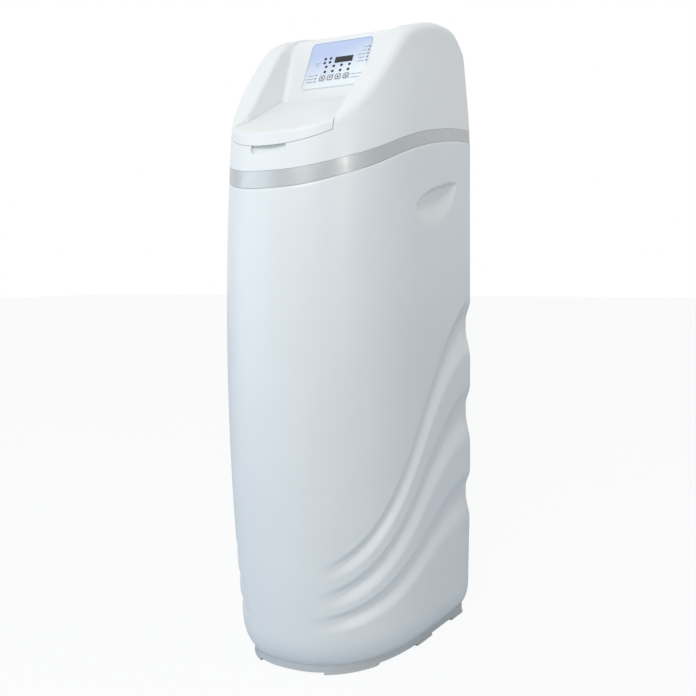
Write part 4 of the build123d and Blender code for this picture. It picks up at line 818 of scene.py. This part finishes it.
    def bottom(self, inset: float) -> tuple[np.ndarray, np.ndarray]:
        """Finds the rows of a rounded bottom: a flat that is two rings wide, then a quarter of an ellipse.

        Args:
            inset: The wall's inset, which also lifts the flat.

        Returns:
            Heights and insets, each shaped rows by 1.
        """
        bend = pi / 2 * np.arange(self.base_rows + 1) / self.base_rows
        across, up = (reach - inset for reach in self.base_round)
        low_z = self.low_z + inset
        z = np.concatenate([[low_z] * 2, low_z + up * (1 - np.cos(bend))])
        set_in = inset + across * np.concatenate([self.floor_rings, 1 - np.sin(bend)])
        return z[:, None], set_in[:, None]

    def settled(self, rule: Callable[[np.ndarray], np.ndarray]) -> np.ndarray:
        """Finds the height at which each column meets a side-view line.

        A column leans with the plan, so its y follows its height: a few rounds of looking up settle both.

        Args:
            rule: Gives the line's height for places y.

        Returns:
            One height for each column.
        """
        z = np.full(len(self.x), self.depth_heights[1])
        for _ in range(5):
            z = rule(self.points(z[None], 0.0, False)[0, :, 1])
        return z

    def swing(self, y: np.ndarray) -> np.ndarray:
        """Returns how far a groove has fallen at each y: a mean of a line and a half cosine, from 0 to 1."""
        along = np.clip((self.back_y - y - self.wave_reach) / self.wave_run, 0, 1)
        return 0.5 * along + 0.25 * (1 - np.cos(pi * along))

    def rows(self, rim: np.ndarray, counts: tuple[int, ...]) -> np.ndarray:
        """Lays rows of heights between the base and the rim, along the grooves and then along the rim.

        Each band lies between two lines. Its rows sit at 1 less (1 less share) to a power, closer under a
        crest.

        Args:
            rim: Height of the rim at each column.
            counts: Rows in each band, from below.

        Returns:
            Heights shaped rows by columns, from just above the base's round to the rim's own round.
        """
        lines = [np.full_like(rim, self.low_z + self.base_round[1])]
        for wave in reversed(self.waves):
            lines.append(self.settled(lambda y, w=wave: w.back_z + (w.front_z - w.back_z) * self.swing(y)))
        lines += [rim - under for under in (*self.grip_under_rim, self.rim_round)]
        bands = []
        for low, high, count, lean in zip(lines, lines[1:], counts, self.band_lean):
            share = 1 - (1 - np.arange(1, count + 1)[:, None] / count) ** lean
            bands.append(low + (high - low) * share)
        return np.concatenate(bands)

    def make(self, workshop: Workshop) -> None:
        """Makes the cabinet's skin: outer wall, rim and inner wall in one closed surface, with the collar.

        Args:
            workshop: What dresses it.
        """
        rim = self.settled(lambda y: self.edge(self.low_edge, -self.seam_gap / 2, y))
        low_z, low_inset = self.bottom(0.0)
        floor_z, floor_inset = self.bottom(self.wall)
        top = rim[None]
        rings = np.concatenate([
            self.points(low_z, low_inset, True),
            self.points(self.rows(rim, self.band_rows), 0.0, True),
            self.points(top, self.rim_round, False),
            self.points(top, self.wall - self.rim_round, False),
            self.points(self.rows(rim, self.inner_rows)[::-1], self.wall, True, self.inner_spread),
            self.points(floor_z, floor_inset, True, self.inner_spread)[::-1],
        ])
        batch = Batch()
        batch.add(*capped(rings))
        batch.add(*self.collar(top))
        piece = batch.piece("cabinet_skin", crease=50)
        workshop.place(piece, SHELL, "cabinet", "white_shell")
        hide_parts("cabinet_shell")

    def collar(self, rim: np.ndarray) -> tuple[np.ndarray, list[np.ndarray]]:
        """Finds the thin ring inside the band that carries the band and the hood.

        Args:
            rim: Heights of the rim, shaped 1 by columns.

        Returns:
            Its points and faces.
        """
        outer, inner = self.collar_insets
        y = self.points(rim, outer, False)[0, :, 1]
        low = (self.edge(self.low_edge, -self.collar_root, y))[None]
        high = (self.edge(self.high_edge, self.collar_rise, y))[None]
        steps = np.linspace(0, 1, 9)[:, None]
        rings = np.concatenate([
            self.points(low + (high - low) * steps, outer, False),
            self.points(high + (low - high) * steps, inner, False),
        ])
        return rings.reshape(-1, 3), [ring_quads(len(rings), len(self.x), True)]


# Control panel
class Sign(Enum):
    """Plain sign printed on a push key."""

    DROP = "drop"
    DOWN = "down"
    UP = "up"
    LOZENGE = "lozenge"


def rounded_box(width: float, height: float, corner: float, steps: int = 6) -> np.ndarray:
    """Finds the outline of a rectangle with round corners: four quarter circles joined by straight runs.

    Args:
        width, height: Its size.
        corner: Radius of its corners.
        steps: Points on each corner, less one.

    Returns:
        Places across and up, anticlockwise.
    """
    bend = pi / 2 * np.arange(steps + 1) / steps
    across, up = width / 2 - corner, height / 2 - corner
    corners = [(across, up, 0), (-across, up, 1), (-across, -up, 2), (across, -up, 3)]
    return np.concatenate([np.stack([x + corner * np.cos(bend + pi / 2 * quarter),
                                     y + corner * np.sin(bend + pi / 2 * quarter)], axis=-1)
                           for x, y, quarter in corners])


def disc(radius: float, columns: int = 28) -> np.ndarray:
    """Returns the outline of a circle round the origin."""
    turn = 2 * pi * np.arange(columns) / columns
    return radius * np.stack([np.cos(turn), np.sin(turn)], axis=-1)


@dataclass
class Panel:
    """The sloping panel: its printed film, the dots over the lights, the short lines and the keys' signs."""

    slope: float = radians(62.9)
    film_half: float = 0.0635
    film_height: float = 0.102
    film_corner: float = 0.008
    sink: float = 0.0001
    film_top: float = 0.0003
    key_top: float = 0.0008
    ink: float = 0.00004
    border_inset: float = 0.0012
    border_width: float = 0.0006
    dot_radius: float = 0.0029
    small_dot_radius: float = 0.0015
    key_size: float = 0.0124
    key_up: float = -0.029
    dots: tuple[tuple[float, float], ...] = (
        (-27.0, 13.3), (-15.8, 13.3), (-27.0, 4.8), (-15.8, 4.8), (-21.5, -4.3), (-5.6, -4.3),
        (10.6, -4.3), (27.0, -4.3), (-21.5, -15.4), (-5.6, -15.4), (10.6, -15.4), (27.0, -15.4))
    small_dots: tuple[tuple[float, float], ...] = (
        (60.0, 29.3), (60.0, 22.2), (60.0, 14.2), (60.0, 7.0), (60.0, -0.3),
        (-38.0, -20.7), (-38.0, -27.8), (-38.0, -34.6))
    lines: tuple[tuple[float, float, float], ...] = (
        (48.5, 56.5, 29.0), (45.5, 56.5, 21.9), (39.5, 56.0, 13.9), (42.5, 56.0, 6.7), (41.5, 56.0, -0.6),
        (-55.0, -42.0, -20.9), (-60.5, -41.5, -28.0), (-58.0, -41.5, -34.8),
        (-47.0, -35.0, 4.6), (-43.0, -37.5, -0.4), (36.5, 58.5, -27.0), (35.5, 57.5, -34.2))
    number_bars: tuple[tuple[float, float], ...] = ((34.0, -27.0), (33.0, -34.2))
    line_height: float = 0.0014
    stroke: float = 0.0016
    stroke_gap: float = 0.0004
    stroke_round: float = 0.3
    short_share: float = 0.8
    short_every: int = 3
    ring_shares: tuple[tuple[float, float], ...] = ((0.9, 0.26), (0.71, 0.19))
    keys: tuple[tuple[str, float, Sign], ...] = (
        ("menu_key", -0.0236, Sign.DROP), ("down_key", -0.0072, Sign.DOWN),
        ("up_key", 0.0092, Sign.UP), ("set_key", 0.0257, Sign.LOZENGE))

    def __post_init__(self) -> None:
        """Takes the panel's middle from the film's box and its directions from the slope."""
        low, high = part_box("control_overlay")
        self.along = np.array([0, cos(self.slope), sin(self.slope)])
        self.out = np.array([0, -sin(self.slope), cos(self.slope)])
        self.middle = (np.array(low) + np.array(high)) / 2 + self.sink * self.out
        self.film = PrintedFilm("film_lavender", linear(186, 200, 232), linear(232, 240, 242),
                                low.z, high.z, self.film_half)

    def place(self, outline: np.ndarray, height: float) -> np.ndarray:
        """Returns the points of an outline laid on the panel at a height above its face."""
        across = np.array([1.0, 0, 0])
        return self.middle + outline[:, :1] * across + outline[:, 1:] * self.along + height * self.out

    def plate(self, batch: Batch, outline: np.ndarray, top: float) -> None:
        """Adds a thin closed plate of ink: the outline at two heights, closed by a fan at each.

        Args:
            batch: What gathers it.
            outline: Places across and up.
            top: Height of the face that carries the ink.
        """
        rings = np.stack([self.place(outline, top - self.ink), self.place(outline, top + self.ink)])
        batch.add(*capped(rings))

    def frame(self, batch: Batch, outer: np.ndarray, inner: np.ndarray, top: float) -> None:
        """Adds a thin closed frame of ink between two outlines with as many points.

        Args:
            batch: What gathers it.
            outer, inner: The outlines.
            top: Height of the face that carries the ink.
        """
        rings = np.stack([self.place(outer, top - self.ink), self.place(outer, top + self.ink),
                          self.place(inner, top + self.ink), self.place(inner, top - self.ink)])
        batch.add(rings.reshape(-1, 3), [ring_quads(4, len(outer), True)])

    def sign(self, sign: Sign) -> list[np.ndarray]:
        """Returns the outlines that make a key's sign, round the key's middle."""
        size = self.key_size
        if sign is Sign.DROP:
            turn = 2 * pi * np.arange(40) / 40
            return [size * np.stack([0.2 * np.sin(turn) * np.sin(turn / 2) ** 1.5,
                                     0.03 + 0.26 * np.cos(turn)], axis=-1)]
        if sign is Sign.LOZENGE:
            rows = [rounded_box(size * 0.46, size * 0.07, size * 0.03, 3) + np.array([0, size * up])
                    for up in (-0.17, 0.17)]
            return rows + [size * np.array([[0.2, 0], [0, 0.12], [-0.2, 0], [0, -0.12]])]
        way = 1 if sign is Sign.UP else -1
        return [size * np.array([[-0.2, -0.15 * way], [0.2, -0.15 * way], [0, 0.21 * way]])[::way]]

    def print_film(self, workshop: Workshop) -> None:
        """Lays the film's print: the dots, the lines as rows of short strokes, and the border.

        Args:
            workshop: What dresses the pieces.
        """
        dots = Batch()
        for places, radius in ((self.dots, self.dot_radius), (self.small_dots, self.small_dot_radius)):
            for place in places:
                self.plate(dots, disc(radius) + np.array(place) * MM, self.film_top)
        strokes = Batch()
        for start, end, up in self.lines:
            count = max(2, round((end - start) * MM / (self.stroke + self.stroke_gap)))
            step = (end - start) * MM / count
            for k in range(count):
                tall = self.line_height * (1.0 if k % self.short_every else self.short_share)
                outline = rounded_box(step - self.stroke_gap, tall, tall * self.stroke_round, 2)
                middle = np.array([start * MM + (k + 0.5) * step, up * MM])
                self.plate(strokes, outline + middle, self.film_top)
        for across, up in self.number_bars:
            outline = rounded_box(self.line_height, self.line_height, self.line_height * self.stroke_round, 2)
            self.plate(strokes, outline + np.array([across, up]) * MM, self.film_top)
        border = Batch()
        width, height = 2 * (self.film_half - self.border_inset), self.film_height - 2 * self.border_inset
        corner = self.film_corner - self.border_inset
        inner = rounded_box(width - 2 * self.border_width, height - 2 * self.border_width,
                            corner - self.border_width, 10)
        self.frame(border, rounded_box(width, height, corner, 10), inner, self.film_top)
        for batch, name, finish in ((dots, "film_dots", MARK), (strokes, "film_lines", FAINT),
                                    (border, "film_border", BORDER)):
            workshop.place(batch.piece(name), finish, "hood", "film")

    def print_key(self, workshop: Workshop, key: str, across: float, sign: Sign) -> None:
        """Prints one key's ring and sign, which move with the key.

        Args:
            workshop: What dresses the piece.
            key: The key's name, which is also its body.
            across: Place of its middle.
            sign: What it shows.
        """
        batch = Batch()
        middle = np.array([across, self.key_up])
        size = self.key_size
        outer, inner = (rounded_box(size * side, size * side, size * corner)
                        for side, corner in self.ring_shares)
        self.frame(batch, outer + middle, inner + middle, self.key_top)
        for outline in self.sign(sign):
            self.plate(batch, outline + middle, self.key_top)
        workshop.place(batch.piece(key + "_print"), MARK, key, "key_cap")

    def make(self, workshop: Workshop) -> None:
        """Makes the film's finish and everything printed on the panel.

        Args:
            workshop: What dresses the pieces.
        """
        workshop.dress(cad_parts["control_overlay"], self.film)
        self.print_film(workshop)
        for key, across, sign in self.keys:
            self.print_key(workshop, key, across, sign)


# Ports at the rear
@dataclass
class PortAdapter:
    """One pipe adapter with a rolled thread on its end."""

    node: str
    radius: float = 0.0166
    bore: float = 0.0125
    collar_radius: float = 0.0205
    collar_run: tuple[float, float] = (0.0248, 0.0308)
    thread: float = 0.018
    relief: float = 0.003
    relief_depth: float = 0.0015
    pitch: float = 0.002309
    thread_depth: float = 0.0012
    chamfer: float = 0.0012
    soft: float = 0.0006
    columns: int = 96
    rows_per_pitch: int = 12

    def radii(self, y: np.ndarray, turn: np.ndarray, ends: tuple[float, float]) -> np.ndarray:
        """Finds the threaded end's radius: the crest less a cosine of the place along less the turn.

        Args:
            y: Places along, as a column.
            turn: Angles round the axis, as a row.
            ends: Where the thread starts and ends.

        Returns:
            Radii in metres.
        """
        wave = 0.5 + 0.5 * np.cos(2 * pi * y / self.pitch - turn)
        start, end = ends
        fade = eased((y - start) / self.pitch) * eased((end - y) / self.pitch + 0.5)
        return self.radius - self.thread_depth * wave * fade

    def make(self, workshop: Workshop) -> None:
        """Makes the adapter as one closed tube: the outside from root to mouth, then back up its bore.

        Args:
            workshop: What dresses it.
        """
        low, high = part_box(self.node)
        x, z, root, mouth = (low.x + high.x) / 2, (low.z + high.z) / 2, low.y, high.y
        turn = 2 * pi * np.arange(self.columns) / self.columns
        collar_low, collar_high = (root + reach for reach in self.collar_run)
        start, soft, groove = mouth - self.thread, self.soft, self.radius - self.relief_depth
        plain = [(root, self.bore + soft), (root, self.radius - soft), (root + soft, self.radius),
                 (collar_low, self.radius), (collar_low, self.collar_radius - soft),
                 (collar_low + soft, self.collar_radius), (collar_high - soft, self.collar_radius),
                 (collar_high, self.collar_radius - soft), (collar_high, self.radius),
                 (start - self.relief, self.radius), (start - self.relief + soft, groove),
                 (start - soft, groove)]
        count = round(self.thread / self.pitch * self.rows_per_pitch)
        y = np.linspace(start, mouth - self.chamfer, count)[:, None]
        thread = self.radii(y, turn[None], (start, mouth - self.chamfer))
        ending = [(mouth, self.radius - self.chamfer), (mouth, self.bore + soft), (mouth - soft, self.bore),
                  (root + soft, self.bore)]
        before, after = np.array(plain), np.array(ending)
        along = np.concatenate([before[:, :1], y, after[:, :1]]) + 0 * turn
        radius = np.concatenate([before[:, 1:] + 0 * turn, thread, after[:, 1:] + 0 * turn])
        rings = np.stack([x + radius * np.cos(turn), along, z + radius * np.sin(turn)], axis=-1)
        piece = mesh_piece(self.node + "_threaded", rings.reshape(-1, 3),
                           [ring_quads(len(rings), self.columns, True)])
        workshop.place(piece, VALVE, "cabinet", "valve_black")
        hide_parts(self.node)


@dataclass
class PowerPin:
    """The contact pin in the middle of the power inlet's bore."""

    radius: float = 0.00105
    foot_share: float = 0.32
    reach_share: float = 0.93
    dome_rows: int = 8
    columns: int = 28

    def make(self, workshop: Workshop) -> None:
        """Makes the pin: a turned stem whose end is a half sphere.

        Args:
            workshop: What dresses it.
        """
        low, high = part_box("power_inlet")
        x, z = (low.x + high.x) / 2, (low.z + high.z) / 2
        foot, tip = (low.y + (high.y - low.y) * share for share in (self.foot_share, self.reach_share))
        bend = pi / 2 * np.linspace(0, 1, self.dome_rows, endpoint=False)
        dome = np.stack([tip - self.radius + self.radius * np.sin(bend), self.radius * np.cos(bend)], axis=-1)
        points, faces = turned(np.concatenate([[(foot, self.radius)], dome]), self.columns)
        points = np.stack([x + points[:, 1], points[:, 0], z + points[:, 2]], axis=-1)
        workshop.place(mesh_piece("power_inlet_pin", points, faces), STEEL, "hood", "steel")


# Light and camera
@dataclass(frozen=True)
class Lamp:
    """One soft rectangular lamp."""

    name: str
    place: tuple[float, float, float]
    aim: tuple[float, float, float]
    size: tuple[float, float]
    power: float
    colour: Colour

    def make(self) -> None:
        """Makes the lamp and turns it to what it lights."""
        light = bpy.data.lights.new(self.name, "AREA")
        light.shape = "RECTANGLE"
        light.size, light.size_y = self.size
        light.energy = self.power
        light.color = self.colour
        lamp = bpy.data.objects.new(self.name, light)
        bpy.context.scene.collection.objects.link(lamp)
        lamp.location = self.place
        lamp.rotation_euler = (Vector(self.aim) - Vector(self.place)).to_track_quat("-Z", "Y").to_euler()


@dataclass
class Studio:
    """The pale floor, the soft light and the camera at the photograph's angle."""

    eye: tuple[float, float, float] = (0.91470, -1.54225, 0.68621)
    turn: float = 0.5308
    pitch: float = 0.0814
    roll: float = -0.0104
    focal_pixels: float = 973.9
    image_width: int = 696
    sensor: float = 36.0
    floor_half: float = 20.0
    floor_glow: float = 0.93
    floor_colour: Colour = (0.61, 0.67, 0.75)
    world_colour: Colour = (0.97, 0.98, 1.0)
    world_strength: float = 0.5
    lamps: tuple[Lamp, ...] = (
        Lamp("key_front", (0.65, -2.5, 2.8), (0, 0, 0.85), (1.4, 1.0), 45.0, (1.0, 0.995, 0.975)),
        Lamp("window_left", (-2.4, -1.9, 1.3), (0, 0, 0.6), (2.4, 2.6), 28.0, (0.80, 0.90, 1.0)),
        Lamp("strip_right", (2.6, -0.78, 1.5), (0.1, -0.15, 0.8), (0.16, 1.1), 8.0, (1.0, 0.97, 0.88)),
    )

    def camera(self) -> None:
        """Makes the camera: forward from the turn and the pitch, right and up turned by the roll."""
        a, p = self.turn, self.pitch
        forward = Vector((-sin(a) * cos(p), cos(a) * cos(p), -sin(p)))
        right = Vector((cos(a), sin(a), 0))
        up = right.cross(forward)
        turned_right = cos(self.roll) * right + sin(self.roll) * up
        turned_up = -sin(self.roll) * right + cos(self.roll) * up
        lens = bpy.data.cameras.new("camera")
        lens.sensor_width = self.sensor
        lens.lens = self.focal_pixels * self.sensor / self.image_width
        eye = bpy.data.objects.new("camera", lens)
        bpy.context.scene.collection.objects.link(eye)
        matrix = Matrix((turned_right, turned_up, -forward)).transposed().to_4x4()
        matrix.translation = Vector(self.eye)
        eye.matrix_world = matrix
        bpy.context.scene.camera = eye

    def floor(self) -> None:
        """Lays the floor, whose white for camera rays is partly its own so that a soft shadow stays."""
        reach = self.floor_half
        mesh = bpy.data.meshes.new("floor")
        mesh.from_pydata([(-reach, -reach, 0), (reach, -reach, 0), (reach, reach, 0), (-reach, reach, 0)], [],
                         [(0, 1, 2, 3)])
        floor = bpy.data.objects.new("floor", mesh)
        bpy.context.scene.collection.objects.link(floor)
        graph = Graph("floor_white")
        paint = graph.add("ShaderNodeBsdfDiffuse", {"Color": (*self.floor_colour, 1)}).outputs[0]
        glow = graph.add("ShaderNodeEmission", {"Color": (1, 1, 1, 1), "Strength": 1.0}).outputs[0]
        camera_ray = graph.add("ShaderNodeLightPath").outputs["Is Camera Ray"]
        seen = graph.maths("MULTIPLY", camera_ray, self.floor_glow)
        mixed = graph.add("ShaderNodeMixShader", {0: seen, 1: paint, 2: glow}).outputs[0]
        graph.add("ShaderNodeOutputMaterial", {"Surface": mixed})
        mesh.materials.append(graph.material)

    def world(self) -> None:
        """Makes the world: a plain soft light, seen as white by the camera, in gloss and through glass."""
        world = bpy.data.worlds.new("studio")
        bpy.context.scene.world = world
        world.use_nodes = True
        tree = world.node_tree
        tree.nodes.clear()
        path = tree.nodes.new("ShaderNodeLightPath")
        seen = path.outputs["Is Camera Ray"]
        for name in ("Is Glossy Ray", "Is Transmission Ray"):
            either = tree.nodes.new("ShaderNodeMath")
            either.operation = "MAXIMUM"
            tree.links.new(seen, either.inputs[0])
            tree.links.new(path.outputs[name], either.inputs[1])
            seen = either.outputs[0]
        light, white, mix, out = (tree.nodes.new(kind) for kind in (
            "ShaderNodeBackground", "ShaderNodeBackground", "ShaderNodeMixShader", "ShaderNodeOutputWorld"))
        light.inputs["Color"].default_value = (*self.world_colour, 1)
        light.inputs["Strength"].default_value = self.world_strength
        white.inputs["Color"].default_value = (1, 1, 1, 1)
        white.inputs["Strength"].default_value = 1.0
        for source, target in ((seen, mix.inputs[0]), (light.outputs[0], mix.inputs[1]),
                               (white.outputs[0], mix.inputs[2]), (mix.outputs[0], out.inputs["Surface"])):
            tree.links.new(source, target)

    def make(self) -> None:
        """Sets up the camera, the floor, the world and the lamps."""
        self.camera()
        self.floor()
        self.world()
        for lamp in self.lamps:
            lamp.make()
        bpy.context.scene.view_settings.view_transform = "Standard"


def main() -> None:
    """Builds the scene in order: studio, finishes of the CAD nodes, cabinet, panel, ports, power pin."""
    logging.basicConfig(level=logging.INFO, format="%(name)s %(message)s")
    Studio().make()
    workshop = Workshop()
    for name, finish in NODE_FINISHES.items():
        workshop.dress(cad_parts[name], finish)
    Cabinet().make(workshop)
    Panel().make(workshop)
    for node in ("inlet_adapter", "outlet_adapter"):
        PortAdapter(node).make(workshop)
    PowerPin().make(workshop)


if __name__ == "__main__":
    main()
